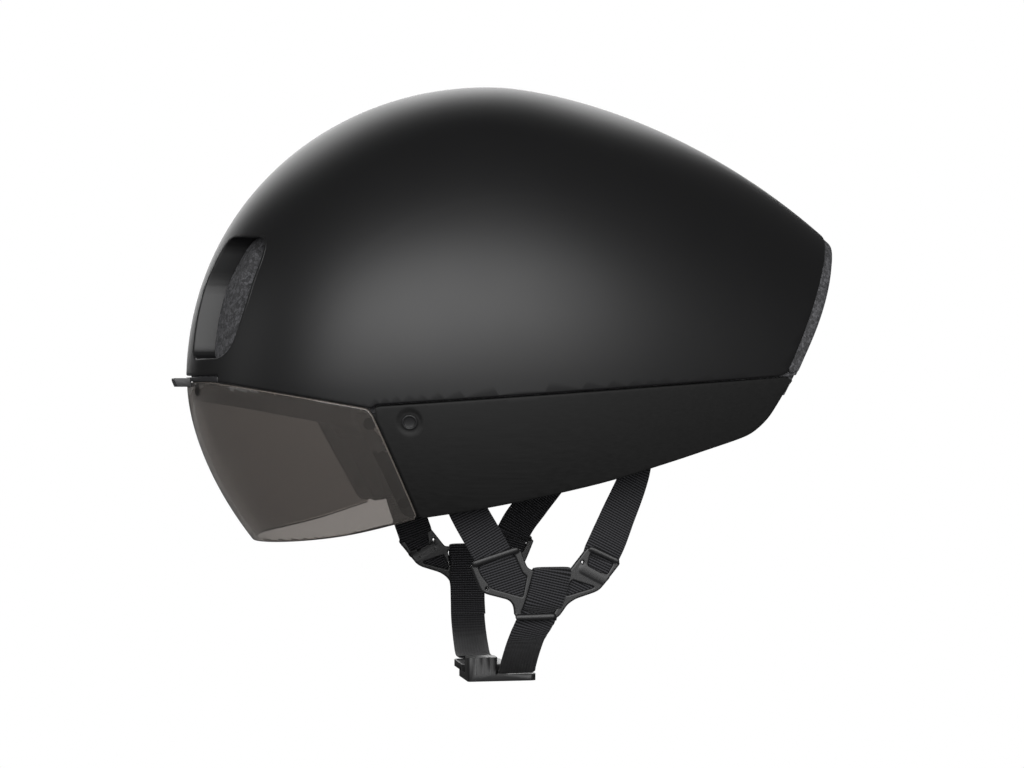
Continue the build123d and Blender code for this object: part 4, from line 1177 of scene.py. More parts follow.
@dataclass
class EarCovers:
    """The two ear covers: panel with a dished seat for its stud, and the flange under the shield's rear edge."""

    toe: tuple[float, float] = (-28.5, -59.4)
    keel: tuple[tuple[float, float], ...] = ((6.0, -53.8), (51.0, -44.5), (82.0, -36.0), (104.0, -29.5), (119.0, -25.0))
    heel: tuple[tuple[float, float], ...] = ((126.0, -22.0), (133.0, -16.2), (138.0, -9.4), (142.5, -2.6))
    seam_gap: float = 0.5
    wall: float = 4.4
    lip: float = 0.7
    flange_reach: float = 7.0
    flange_inset: float = 2.9
    flange_wall: float = 1.7
    flange_drop: float = 2.0
    flange_rise: float = 1.5
    flange_cover: float = 5.0
    stud: tuple[float, float] = (-35.3, -16.4)
    seat_radius: float = 5.2
    seat_depth: float = 0.7
    seat_edge: float = 1.2
    seat_patch: float = 7.0
    flange_lip: float = 0.4
    flange_fan: tuple[float, float, float] = (115.0, 150.0, 1.0)
    flange_arch: tuple[float, float, float] = (-84.0, -20.0, 1.0)
    corner: float = 1.5

    def outline(self, shell: Shell) -> Array:
        """Side view outline of a cover.

        Args:
            shell: the shell above.

        Returns:
            The outline's corners as (n, 2) stations and heights.
        """
        gap = self.seam_gap
        front = (shell.brow_corner[0] + gap, shell.brow_corner[1] - gap)
        top = (shell.seam_front[0] + gap, shell.seam_front[1] - gap)
        rear = (shell.seam_tail[0] + 0.6, shell.seam_tail[1] - gap)
        below = smooth_line([self.toe, *self.keel, *self.heel, rear], 5)
        path = [top, front, *[tuple(p) for p in below]]
        return rounded(path, self.corner, 3)

    def flange_outline(self, shell: Shell) -> Array:
        """Side view outline of the flange, from under the cover's edge to ahead of it.

        Args:
            shell: the shell above.

        Returns:
            The outline's corners as (n, 2) stations and heights.
        """
        top, toe = shell.brow_corner[1] - self.flange_drop, self.toe[1] + self.flange_rise
        front, under = -self.flange_reach, self.flange_cover
        return rounded([(shell.brow_corner[0] + front, top), (shell.brow_corner[0] + under, top),
                        (self.toe[0] + under, toe), (self.toe[0] + front, toe)], 1.0, 3)

    def build(self, shell: Shell) -> list[bpy.types.Object]:
        """Makes both covers, the right one as the left one's mirror.

        Args:
            shell: the shell above.

        Returns:
            Both covers.
        """
        outline = self.outline(shell)
        seat, _ = FORM.side_place(*self.stud, Side.LEFT)

        def keep(places: Array) -> Array:
            """Distance inside the cover's outline."""
            return inside_distance(outline, places[..., 0], places[..., 2])

        def sink(places: Array) -> Array:
            """Depth of the stud's seat: a smooth step at its radius.

            Args:
                places: places in millimetres.

            Returns:
                Depths in millimetres.
            """
            away = np.linalg.norm(places - seat, axis=-1)
            share = np.clip((self.seat_radius + self.seat_edge / 2 - away) / self.seat_edge, 0, 1)
            return self.seat_depth * share * share * (3 - 2 * share)

        reach = np.hypot(self.stud[0] - FORM.crown_station, self.stud[1] + FORM.fan_depth)
        at_u = math.atan2(self.stud[1] + FORM.fan_depth, self.stud[0] - FORM.crown_station)
        full = float(FORM.fan_reach(np.array([at_u]))[0])
        at_v = -math.acos((reach - FORM.fan_core) / (full - FORM.fan_core))
        near_u, near_v = self.seat_patch / reach, 4.4 * DEG
        angles = lines(28 * DEG, 152 * DEG, 1.2 * DEG, ((at_u - near_u, at_u + near_u, 0.4 * DEG),))
        arches = lines(-86 * DEG, -20 * DEG, 0.8 * DEG, ((at_v - near_v, at_v + near_v, 0.35 * DEG),))
        vertices, faces = Skin(angles, arches, keep, wall=self.wall, lip=self.lip, sink=sink).build()
        flange = self.flange_outline(shell)
        strip = Skin(turned_lines(*self.flange_fan), turned_lines(*self.flange_arch),
                     lambda places: inside_distance(flange, places[..., 0], places[..., 2]),
                     FormLayer(self.flange_inset), self.flange_wall, self.flange_lip)
        more, rows = strip.build()
        faces = faces + [[n + len(vertices) for n in row] for row in rows]
        vertices = np.concatenate([vertices, more])
        pieces = []
        for side in Side:
            made = (vertices, faces) if side is Side.LEFT else mirrored(vertices, faces)
            pieces.append(make_piece(f"cover_panel_{side.word}", *made, COVER, "helmet", "cover",
                                     (f"ear_cover_{side.word}",)))
        return pieces


@dataclass
class Shield:
    """The smoke lens, a closed clear wall with polished edges, which are painted paler as a highlight."""

    chin: tuple[tuple[float, float], ...] = ((-62.0, -68.0), (-98.0, -73.0), (-125.0, -74.5))
    inset: float = 0.4
    wall: float = 2.2
    lip: float = 0.5
    seam_gap: float = 0.5
    clip_gap: float = 0.2
    corner: float = 2.5
    beyond: float = -170.0  # a station ahead of everything, where the side view's outline closes
    fan: tuple[float, float, float] = (112.0, 176.6, 0.9)
    arch: tuple[float, float, float] = (-88.0, 88.0, 1.1)
    edge_share: float = 0.6  # share of the lip that gets the edge's paler colour, a painted highlight

    def outline(self, shell: Shell, covers: EarCovers) -> Array:
        """Side view outline of the lens.

        Args:
            shell: the shell above.
            covers: the ear covers behind.

        Returns:
            The outline's corners as (n, 2) stations and heights.
        """
        far = self.beyond
        slope = (shell.brow_corner[1] - shell.brow_nose[1]) / (shell.brow_corner[0] - shell.brow_nose[0])
        top_far = (far, shell.brow_nose[1] + slope * (far - shell.brow_nose[0]) - self.seam_gap)
        corner = (shell.brow_corner[0] - self.seam_gap, shell.brow_corner[1] - self.seam_gap / 2)
        toe = (covers.toe[0] - 2 * self.seam_gap, covers.toe[1])
        below = smooth_line([toe, *self.chin], 8)
        path = [top_far, corner, *[tuple(p) for p in below], (far, self.chin[-1][1])]
        return rounded(path, self.corner, 4)

    def build(self, shell: Shell, covers: EarCovers) -> list[bpy.types.Object]:
        """Makes the lens.

        Args:
            shell: the shell above.
            covers: the ear covers behind.

        Returns:
            The lens.
        """
        outline = self.outline(shell, covers)

        def keep(places: Array) -> Array:
            """Distance inside the lens's outline and outside the clip's notch.

            Args:
                places: places on the lens.

            Returns:
                Distances in millimetres, less than zero where the lens isn't.
            """
            notch = np.maximum(np.abs(places[..., 1]) - shell.clip_half_span,
                               shell.clip_low - self.clip_gap - places[..., 2])
            return np.minimum(inside_distance(outline, places[..., 0], places[..., 2]), notch)

        angles, arches = turned_lines(*self.fan), turned_lines(*self.arch)
        vertices, faces = Skin(angles, arches, keep, FormLayer(self.inset), self.wall, self.lip).build()
        lens = make_piece("smoke_lens", vertices, faces, LENS, "shield", "lens", ("shield_lens",), 60.0)
        # The edge faces get a paler, less clear colour: a painted highlight.
        lens.data.materials.append(LENS_EDGE_HIGHLIGHT.material())
        middle = np.zeros(len(lens.data.polygons) * 3)
        lens.data.polygons.foreach_get("center", middle)
        middle = middle.reshape(-1, 3) / MM
        lens.data.polygons.foreach_set("material_index", (keep(middle) < self.lip * self.edge_share).astype(np.int32))
        return [lens]


def weave_map(piece: bpy.types.Object, across: Array, along: Array) -> None:
    """Gives a piece of webbing the UV map that its weave follows, in metres.

    Args:
        piece: the piece.
        across: each vertex's distance across the webbing in millimetres.
        along: its distance along it.
    """
    corners = np.zeros(len(piece.data.loops), int)
    piece.data.loops.foreach_get("vertex_index", corners)
    layer = piece.data.uv_layers.new(name="weave")
    layer.data.foreach_set("uv", (np.stack([across[corners], along[corners]], -1) * MM).astype(np.float32).ravel())


@dataclass
class Strap:
    """One run of webbing along a route, with its width direction at each place of the route."""

    name: str
    route: list[tuple[float, float, float]]
    across: list[tuple[float, float, float]]
    node: str
    width: float = 17.0
    thickness: float = 1.4
    body: str = "helmet"
    edge_power: float = 0.45
    face_power: float = 0.7
    run_steps: int = 14
    section_steps: int = 24

    def build(self) -> bpy.types.Object:
        """Carries a flat rounded section along the smooth route.

        The section is a superellipse of the width and thickness. Its own UV map holds the distance across and
        along the webbing in metres.

        Returns:
            The webbing.
        """
        path = smooth_line(self.route, self.run_steps)
        across = smooth_line(self.across, self.run_steps)
        along = unit(np.gradient(path, axis=0))
        across = unit(across - along * np.sum(across * along, -1, keepdims=True))
        normal = np.cross(along, across)
        turn = np.linspace(0, 2 * np.pi, self.section_steps, endpoint=False)
        flat = np.sign(np.cos(turn)) * np.abs(np.cos(turn)) ** self.edge_power
        thick = np.sign(np.sin(turn)) * np.abs(np.sin(turn)) ** self.face_power
        section_x, section_y = flat * self.width / 2, thick * self.thickness / 2
        vertices = (path[:, None] + across[:, None] * section_x[None, :, None]
                    + normal[:, None] * section_y[None, :, None])
        rows, columns = vertices.shape[:2]
        index = np.arange(rows * columns).reshape(rows, columns)
        after = np.roll(index, -1, 1)
        sides = np.stack([index[:-1], after[:-1], after[1:], index[1:]], -1).reshape(-1, 4)
        caps = [index[0][::-1].tolist(), index[-1].tolist()]
        piece = make_piece(self.name, vertices.reshape(-1, 3), sides.tolist() + caps, WEBBING, self.body, "webbing",
                           (self.node,), 50.0)
        steps = np.concatenate([[0], np.cumsum(np.linalg.norm(np.diff(path, axis=0), axis=1))])
        u = np.broadcast_to(section_x, (rows, columns)).reshape(-1)
        v = np.broadcast_to(steps[:, None], (rows, columns)).reshape(-1)
        weave_map(piece, u, v)
        return piece


@dataclass
class Harness:
    """All the webbing: two side straps, which meet at a divider, and a chin strap on each side.

    Each strap's route holds places and width directions. A side strap goes behind a divider's bar, comes up into its
    window and ends behind the plate. A chin strap starts at its sewn end, folds over the divider's loop and goes down
    to the buckle.
    """

    straps: list[Strap] = field(default_factory=lambda: [
        Strap("webbing_front_left",
              [(-28.7, -77.4, -3.5), (-18.0, -72.0, -28.0), (-6.0, -65.5, -54.0), (3.6, -62.9, -70.5),
               (7.0, -62.8, -76.6), (7.9, -63.5, -78.4), (8.4, -64.4, -79.4), (8.8, -64.6, -80.6)],
              [(0.89, -0.32, 0.33), (0.87, -0.3, 0.4), (0.86, -0.28, 0.42), (0.92, -0.05, 0.35), (0.95, 0, 0.3),
               (0.95, 0, 0.3), (0.95, 0, 0.3), (0.95, 0, 0.3)], "front_strap_left"),
        Strap("webbing_rear_left",
              [(71.9, -56.5, 2.5), (76.5, -55.2, -18.0), (75.5, -54.5, -38.0), (65.0, -58.5, -61.5),
               (60.0, -62.0, -71.0), (57.4, -62.8, -76.0), (56.6, -63.5, -77.8), (56.0, -64.4, -79.0),
               (55.6, -64.6, -80.0)],
              [(0.76, 0.63, 0.17), (0.78, 0.62, 0.0), (0.85, 0.45, -0.2), (0.9, 0.15, -0.35), (0.92, 0, -0.38),
               (0.92, 0, -0.38), (0.92, 0, -0.38), (0.92, 0, -0.38), (0.92, 0, -0.38)], "rear_strap_left"),
        Strap("webbing_front_right",
              [(-28.7, 77.4, -3.5), (-22.0, 72.0, -28.0), (-15.9, 65.2, -54.0), (-11.6, 62.9, -66.5),
               (-9.3, 62.8, -73.0), (-8.5, 63.5, -75.2), (-8.0, 64.4, -76.4), (-7.6, 64.6, -77.4)],
              [(0.94, 0.28, 0.18), (0.93, 0.3, 0.22), (0.92, 0.28, 0.28), (0.92, 0.05, 0.36), (0.92, 0, 0.38),
               (0.92, 0, 0.38), (0.92, 0, 0.38), (0.92, 0, 0.38)], "front_strap_right"),
        Strap("webbing_rear_right",
              [(71.9, 56.5, 2.5), (70.5, 59.0, -18.0), (66.0, 60.8, -38.0), (51.5, 61.8, -58.5),
               (44.5, 62.9, -68.2), (41.1, 62.8, -73.9), (40.2, 63.5, -75.8), (39.7, 64.4, -76.8),
               (39.3, 64.6, -78.0)],
              [(0.77, -0.64, -0.02), (0.78, -0.6, -0.15), (0.82, -0.4, -0.3), (0.86, -0.1, -0.45), (0.94, 0, -0.33),
               (0.95, 0, -0.3), (0.95, 0, -0.3), (0.95, 0, -0.3), (0.95, 0, -0.3)], "rear_strap_right"),
        Strap("webbing_chin_left",
              [(28.2, -61.1, -105.0), (30.5, -61.6, -94.0), (33.0, -62.3, -86.0), (33.5, -63.2, -83.6),
               (33.6, -65.0, -82.8), (33.5, -66.8, -83.7), (33.0, -67.4, -86.0), (31.0, -67.4, -94.0),
               (29.4, -66.6, -99.0), (28.2, -63.6, -102.8), (26.8, -62.7, -106.0), (24.7, -60.6, -110.8),
               (23.4, -56.0, -116.0), (23.6, -43.0, -124.5), (25.2, -28.0, -131.5), (26.5, -20.0, -134.0),
               (26.5, -15.8, -134.4)],
              [(1, 0, 0)] * 17, "chin_strap_left", body=""),
        Strap("webbing_chin_right",
              [(17.1, 57.0, -114.0), (17.3, 60.0, -108.0), (17.4, 61.2, -98.0), (17.3, 62.2, -84.6),
               (17.3, 63.2, -81.2), (17.3, 65.0, -80.4), (17.3, 66.8, -81.3), (17.3, 67.4, -84.0),
               (17.3, 67.4, -92.0), (17.3, 66.4, -97.0), (17.4, 63.6, -100.6), (17.4, 62.7, -104.0),
               (17.3, 61.4, -109.0), (17.0, 58.5, -116.0), (16.4, 51.0, -122.8), (15.3, 40.0, -127.7),
               (14.0, 28.0, -130.7), (13.5, 20.0, -131.0), (13.5, 15.8, -131.0)],
              [(1, 0, 0)] * 19, "chin_strap_right"),
    ])

    def build(self) -> list[bpy.types.Object]:
        """Makes every strap. The left chin strap rides on no body, and its transform is baked into its mesh.

        Returns:
            The straps.
        """
        pieces = [strap.build() for strap in self.straps]
        flexing = next(piece for piece in pieces if piece.name == "webbing_chin_left")
        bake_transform(flexing)
        return pieces


@dataclass
class Divider:
    """A strap divider: plate with windows for the straps, a loop for the chin strap, and raised bars.

    The two sides' plates are one moulding, the right one turned half round, so it is mirrored in the side view.

    Args:
        side: which side.
        place: station and height of the plate's middle.
    """

    side: Side
    place: tuple[float, float]
    level: float = 66.4
    wall: float = 2.8
    lip: float = 0.7
    corner: float = 1.6
    pin: float = 0.5
    window_corner: float = 0.8
    outline: tuple[tuple[float, float], ...] = (
        (-32.9, 9.2), (-31.6, 11.3), (-12.6, 17.2), (-10.2, 16.6), (-6.9, 7.6), (-4.1, 6.3), (11.9, 6.3), (12.9, 6.6),
        (20.7, 16.4), (23.1, 17.1), (34.7, 11.7), (36.2, 9.2), (26.8, -2.4), (24.5, -3.8), (15.1, -6.8), (11.6, -9.1),
        (7.9, -14.3), (5.6, -15.7), (2.8, -16.2), (-12.6, -16.0), (-12.8, -11.5), (-13.4, -8.7), (-15.4, -6.7),
        (-25.8, -3.9), (-28.0, -2.6), (-30.0, 2.0))
    windows: tuple[tuple[tuple[float, float], ...], ...] = (
        ((-29.4, 8.3), (-13.0, 13.6), (-9.2, 5.2), (-7.2, 3.6), (-9.0, -5.4), (-23.0, -1.3), (-27.6, 4.4)),
        ((-4.2, 4.0), (11.2, 4.0), (9.7, -3.6), (5.6, -12.6), (-9.8, -12.8), (-7.3, -7.0)),
        ((22.2, 13.9), (32.6, 8.9), (29.8, 4.2), (20.9, 8.5)),
        ((13.6, 1.8), (23.8, -1.6), (11.0, -5.2), (11.8, -1.4)))
    patches: tuple[tuple[int, tuple[float, float], float], ...] = ((0, (0.952, 0.306), 1.3), (2, (0.9, -0.436), 1.3),
                                                                    (3, (0.9, -0.436), 0.0))
    patch_sink: float = 0.8
    patch_wall: float = 1.3
    pins: tuple[tuple[float, float], ...] = ((-25.4, -1.5), (18.4, 9.8))
    bars: tuple[tuple[tuple[float, float], tuple[float, float], float, float], ...] = (
        ((-30.6, 10.1), (-12.3, 15.9), 1.7, 0.9), ((22.4, 15.7), (34.2, 10.2), 1.2, 0.5),
        ((-11.2, -14.6), (4.6, -14.4), 1.5, 0.8), ((18.8, 6.6), (29.4, 1.0), 2.2, 0.3))

    def local(self, x: Array, z: Array) -> tuple[Array, Array]:
        """Places in the plate's own side view."""
        return (self.place[0] - x) * self.side.value, z - self.place[1]

    def rise(self, x: Array, z: Array) -> Array:
        """Height of the raised bars: a rounded ridge round each line.

        Args:
            x: stations.
            z: heights.

        Returns:
            Heights above the plate's face.
        """
        across, up = self.local(x, z)
        top = np.zeros_like(across)
        for start, end, half, height in self.bars:
            run = np.array(end) - np.array(start)
            share = np.clip(((across - start[0]) * run[0] + (up - start[1]) * run[1]) / (run @ run), 0, 1)
            away = np.hypot(across - start[0] - share * run[0], up - start[1] - share * run[1])
            top = np.maximum(top, height * np.sqrt(np.clip(1 - (away / half) ** 2, 0, 1)))
        return top

    def build(self) -> list[bpy.types.Object]:
        """Makes the plate and the webbing in its windows.

        Returns:
            The plate and the webbing.
        """
        edge = rounded(list(self.outline), self.corner, 4)
        holes = [rounded(list(window), self.window_corner, 3) for window in self.windows]

        def keep(places: Array) -> Array:
            """Distance inside the outline and outside the windows and pin holes.

            Args:
                places: places in millimetres.

            Returns:
                Distances, positive on the plate.
            """
            across, up = self.local(places[..., 0], places[..., 2])
            level = inside_distance(edge, across, up)
            for hole in holes:
                level = np.minimum(level, -inside_distance(hole, across, up))
            for x, z in self.pins:
                level = np.minimum(level, np.hypot(across - x, up - z) - self.pin)
            return level

        sheet = FlatSheet(self.side.value * self.level, self.rise)
        x, z = self.place
        grid = (lines(x - 37.5, x + 37.5, 0.4), lines(z - 17, z + 18, 0.4))
        made = Skin(*grid, keep, sheet, self.wall, self.lip).build()
        plate = make_piece(f"divider_plate_{self.side.word}", *made, ACETAL, "helmet", "buckle",
                           (f"strap_divider_{self.side.word}",), 40.0)
        return [plate, *[self.patch(*patch) for patch in self.patches]]

    def patch(self, window: int, along_bar: tuple[float, float], slot: float) -> bpy.types.Object:
        """Makes the webbing that shows in a window, with a dark slot left open under the bar.

        Args:
            window: number of the window.
            along_bar: direction of the weave's rows in the plate's side view.
            slot: height of the slot in millimetres.

        Returns:
            The webbing.
        """
        hole = rounded(list(self.windows[window]), self.window_corner, 3)
        upright = (-along_bar[1], along_bar[0])
        top = float((hole @ np.array(upright)).max()) - slot

        def keep(places: Array) -> Array:
            """Distance inside the window, a little widened so that no gap shows, and under the slot.

            Args:
                places: places in millimetres.

            Returns:
                Distances, positive on the webbing.
            """
            across, up = self.local(places[..., 0], places[..., 2])
            inside = inside_distance(hole, across, up) + 1.0
            return np.minimum(inside, top - across * upright[0] - up * upright[1] + (0 if slot else 9))

        low, high = hole.min(0) - 1.5, hole.max(0) + 1.5
        x, z = self.place
        ends = sorted((x - self.side.value * low[0], x - self.side.value * high[0]))
        sheet = FlatSheet(self.side.value * (self.level - self.patch_sink))
        made = Skin(lines(*ends, 0.5), lines(z + low[1], z + high[1], 0.5), keep, sheet, self.patch_wall,
                    0.4).build()
        name = f"webbing_window_{window}_{self.side.word}"
        piece = make_piece(name, *made, WEBBING, "helmet", "webbing", (), 40.0)
        across, up = self.local(made[0][:, 0], made[0][:, 2])
        weave_map(piece, across * along_bar[0] + up * along_bar[1], across * upright[0] + up * upright[1])
        return piece


@dataclass
class Pad:
    """A fabric pad on the head space's lining: a closed cushion with a seam round its middle.

    Args:
        name: the piece's name.
        centre: middle of the pad in its own two coordinates.
        half: half sizes in those coordinates.
        solve: axis along which the pad lies on the lining.
        sign: which side of that axis.
        body: the body that it rides on.
        nodes: the nodes that it stands for.
        lift: gap to the head space's wall.
        thickness: greatest thickness.
        channels: number of sewn channels across the pad.
    """

    name: str
    centre: tuple[float, float]
    half: tuple[float, float]
    solve: int
    sign: float
    body: str
    nodes: tuple[str, ...]
    lift: float = 1.5
    thickness: float = 5.0
    channels: int = 0
    axes: tuple[float, float, float] = (104.0, 84.0, 112.0)
    corner: float = 3.2
    back: float = 0.9
    channel_half: float = 1.6
    channel_draw: float = 0.5
    rings: int = 14
    spokes: int = 72

    def wall(self, first: Array, second: Array, depth: Array) -> Array:
        """Places on the lining, an ellipsoid above the brow and an upright shaft below, drawn in by a depth.

        Args:
            first: first of the pad's own coordinates.
            second: the second.
            depth: distance in from the lining.

        Returns:
            Places in millimetres.
        """
        others = [axis for axis in range(3) if axis != self.solve]
        rest = 1.0
        for axis, value in zip(others, (first, second)):
            level = np.maximum(value, 0) if axis == 2 else value
            rest = rest - (level / (self.axes[axis] - depth)) ** 2
        places = np.zeros((*first.shape, 3))
        places[..., others[0]] = first
        places[..., others[1]] = second
        places[..., self.solve] = self.sign * (self.axes[self.solve] - depth) * np.sqrt(np.clip(rest, 0.01, None))
        return places

    def build(self) -> bpy.types.Object:
        """Fills the pad's outline with rings from its middle to its seam, on both faces.

        The outline is a superellipse. The thickness is the square root of one less the share of the way to the seam
        to its fourth power, and each sewn channel draws the pad in by a bell curve.

        Returns:
            The pad.
        """
        rings = 1 - (1 - np.linspace(0, 1, self.rings + 1)[1:]) ** 1.6
        turn = np.linspace(0, 2 * np.pi, self.spokes, endpoint=False)
        square = (np.abs(np.cos(turn)) ** self.corner + np.abs(np.sin(turn)) ** self.corner) ** (-1 / self.corner)
        share = rings[:, None] * np.ones_like(turn)[None]
        first = self.centre[0] + self.half[0] * share * (np.cos(turn) * square)[None]
        second = self.centre[1] + self.half[1] * share * (np.sin(turn) * square)[None]
        full = np.sqrt(np.clip(1 - share**4, 0, 1))
        for channel in range(self.channels):
            line = self.centre[0] + self.half[0] * (2 * (channel + 1) / (self.channels + 1) - 1)
            drawn = self.channel_draw * np.exp(-((first - line) / self.channel_half) ** 2)
            full = full * (1 - drawn * (1 - share**6))
        back = self.back
        sheets = []
        for depth in (self.lift + back * (1 - full), self.lift + back + (self.thickness - back) * full):
            sheets.append(self.wall(first, second, depth).reshape(-1, 3))
        middle = np.array([self.centre[0]]), np.array([self.centre[1]])
        ends = [self.wall(*middle, np.array([self.lift])), self.wall(*middle, np.array([self.lift + self.thickness]))]
        rows, columns = share.shape
        index = np.arange(rows * columns).reshape(rows, columns)
        after = np.roll(index, -1, 1)
        bands = np.stack([index[:-1], index[1:], after[1:], after[:-1]], -1).reshape(-1, 4)
        count = rows * columns
        outer = bands.tolist() + [[2 * count, a, b] for a, b in zip(index[0], after[0])]
        inner = (bands[:, ::-1] + count).tolist() + [[2 * count + 1, b + count, a + count] for a, b in
                                                     zip(index[0], after[0])]
        seam = [[a, a + count, b + count, b] for a, b in zip(index[-1], after[-1])]
        vertices = np.concatenate([*sheets, *ends])
        faces = [[int(n) for n in face] for face in outer + inner + seam]
        piece = make_piece(self.name, vertices, faces, KNIT, self.body, "pad", self.nodes, 60.0)
        mesh = bmesh.new()
        mesh.from_mesh(piece.data)
        bmesh.ops.recalc_face_normals(mesh, faces=mesh.faces)
        mesh.to_mesh(piece.data)
        mesh.free()
        return piece


@dataclass
class Lining:
    """The pads between the head and the foam."""

    pads: list[Pad] = field(default_factory=lambda: [
        Pad("brow_cushion", (0.0, 8.0), (58.5, 11.6), 0, -1.0, "helmet", ("brow_pad",), channels=5),
        Pad("side_cushion_left", (12.0, 42.0), (34.5, 16.5), 1, -1.0, "helmet", ("side_pad_left",), channels=2),
        Pad("side_cushion_right", (12.0, 42.0), (34.5, 16.5), 1, 1.0, "helmet", ("side_pad_right",), channels=2),
        Pad("crown_cushion", (0.0, 0.0), (45.5, 19.5), 2, 1.0, "helmet", ("crown_pad",), channels=3),
        Pad("nape_cushion_left", (-11.5, -14.0), (8.4, 5.4), 0, 1.0, "cradle", ("nape_pads",), 0.1, 2.4, 0,
            (98.9, 81.4, 112.0)),
        Pad("nape_cushion_right", (11.5, -14.0), (8.4, 5.4), 0, 1.0, "cradle", ("nape_pads",), 0.1, 2.4, 0,
            (98.9, 81.4, 112.0)),
    ])

    def build(self) -> list[bpy.types.Object]:
        """Makes every pad."""
        return [pad.build() for pad in self.pads]


@dataclass
class EasedParts:
    """Hard parts shown as copies of their solids with eased edges.

    Args:
        parts: body, slot, finish and edge radius in millimetres for each node.
        merge: vertices nearer than this, in metres, become one.
        flat_angle: faces that meet at less than this, in degrees, become one.
        edge_angle: edges sharper than this are eased.
        shade_angle: edges sharper than this stay sharp in the shading.
        segments: facets across an eased edge.
    """

    parts: dict[str, tuple[str, str, Finish, float]] = field(default_factory=lambda: {
        "buckle_body": ("helmet", "buckle", ACETAL, 1.1),
        "buckle_clasp": ("clasp", "buckle", ACETAL, 1.5),
        "shield_clip": ("shield", "clip", CLIP, 0.35),
        "dial_housing": ("cradle", "moulding", NYLON, 0.4),
        "cover_studs": ("helmet", "stud", ACETAL, 0.3),
    })
    merge: float = 2e-6
    flat_angle: float = 1.5
    edge_angle: float = 35.0
    shade_angle: float = 32.0
    segments: int = 3

    def build(self) -> list[bpy.types.Object]:
        """Copies, merges, cleans and bevels each solid's mesh.

        Returns:
            The copies.
        """
        pieces = []
        for node, (body, slot, finish, radius) in self.parts.items():
            mesh = bmesh.new()
            mesh.from_mesh(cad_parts[node].data)
            bmesh.ops.remove_doubles(mesh, verts=mesh.verts, dist=self.merge)
            bmesh.ops.dissolve_limit(mesh, angle_limit=self.flat_angle * DEG, verts=mesh.verts, edges=mesh.edges)
            limit = self.edge_angle * DEG
            sharp = [edge for edge in mesh.edges if edge.is_manifold and edge.calc_face_angle(0) > limit]
            bmesh.ops.bevel(mesh, geom=sharp, offset=radius * MM, offset_type="OFFSET", segments=self.segments,
                            profile=0.5, affect="EDGES", clamp_overlap=True)
            data = bpy.data.meshes.new(f"{node}_eased")
            mesh.to_mesh(data)
            mesh.free()
            data.materials.append(finish.material())
            data.shade_smooth()
            data.set_sharp_from_angle(angle=self.shade_angle * DEG)
            piece = bpy.data.objects.new(f"{node}_eased", data)
            bpy.context.scene.collection.objects.link(piece)
            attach(piece, body)
            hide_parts(node)
            log.info("%s: %d faces", piece.name, len(data.polygons))
            pieces.append(piece)
        return pieces


@dataclass
class SolidParts:
    """Parts whose solids have the right shape and only need their finish."""

    finishes: dict[str, Finish] = field(default_factory=lambda: {
        "foam_liner": FOAM, "cover_studs": ACETAL, "cover_stud_inserts": NYLON, "shield_clip": CLIP,
        "shield_discs": COATED_STEEL, "shield_magnets": COATED_STEEL, "brow_band": NYLON, "tail_rim_cover": NYLON,
        "pad_dots": NYLON, "strap_divider_left": ACETAL, "strap_divider_right": ACETAL,
        "front_strap_anchors": NYLON, "rear_strap_anchors": NYLON, "buckle_body": ACETAL, "buckle_clasp": ACETAL,
        "body_magnets": STEEL, "clasp_magnets": STEEL, "height_rail": NYLON, "height_strip": NYLON,
        "cradle_yoke": NYLON, "dial_housing": NYLON, "housing_cover": NYLON, "housing_screws": STEEL,
        "dial_pinion": ACETAL, "dial_knob": RUBBER, "dial_screw": STEEL, "side_arm_left": NYLON,
        "side_arm_right": NYLON,
    })

    def dress(self) -> None:
        """Puts each solid's finish on it."""
        for name, finish in self.finishes.items():
            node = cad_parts[name]
            node.data.materials.clear()
            node.data.materials.append(finish.material())


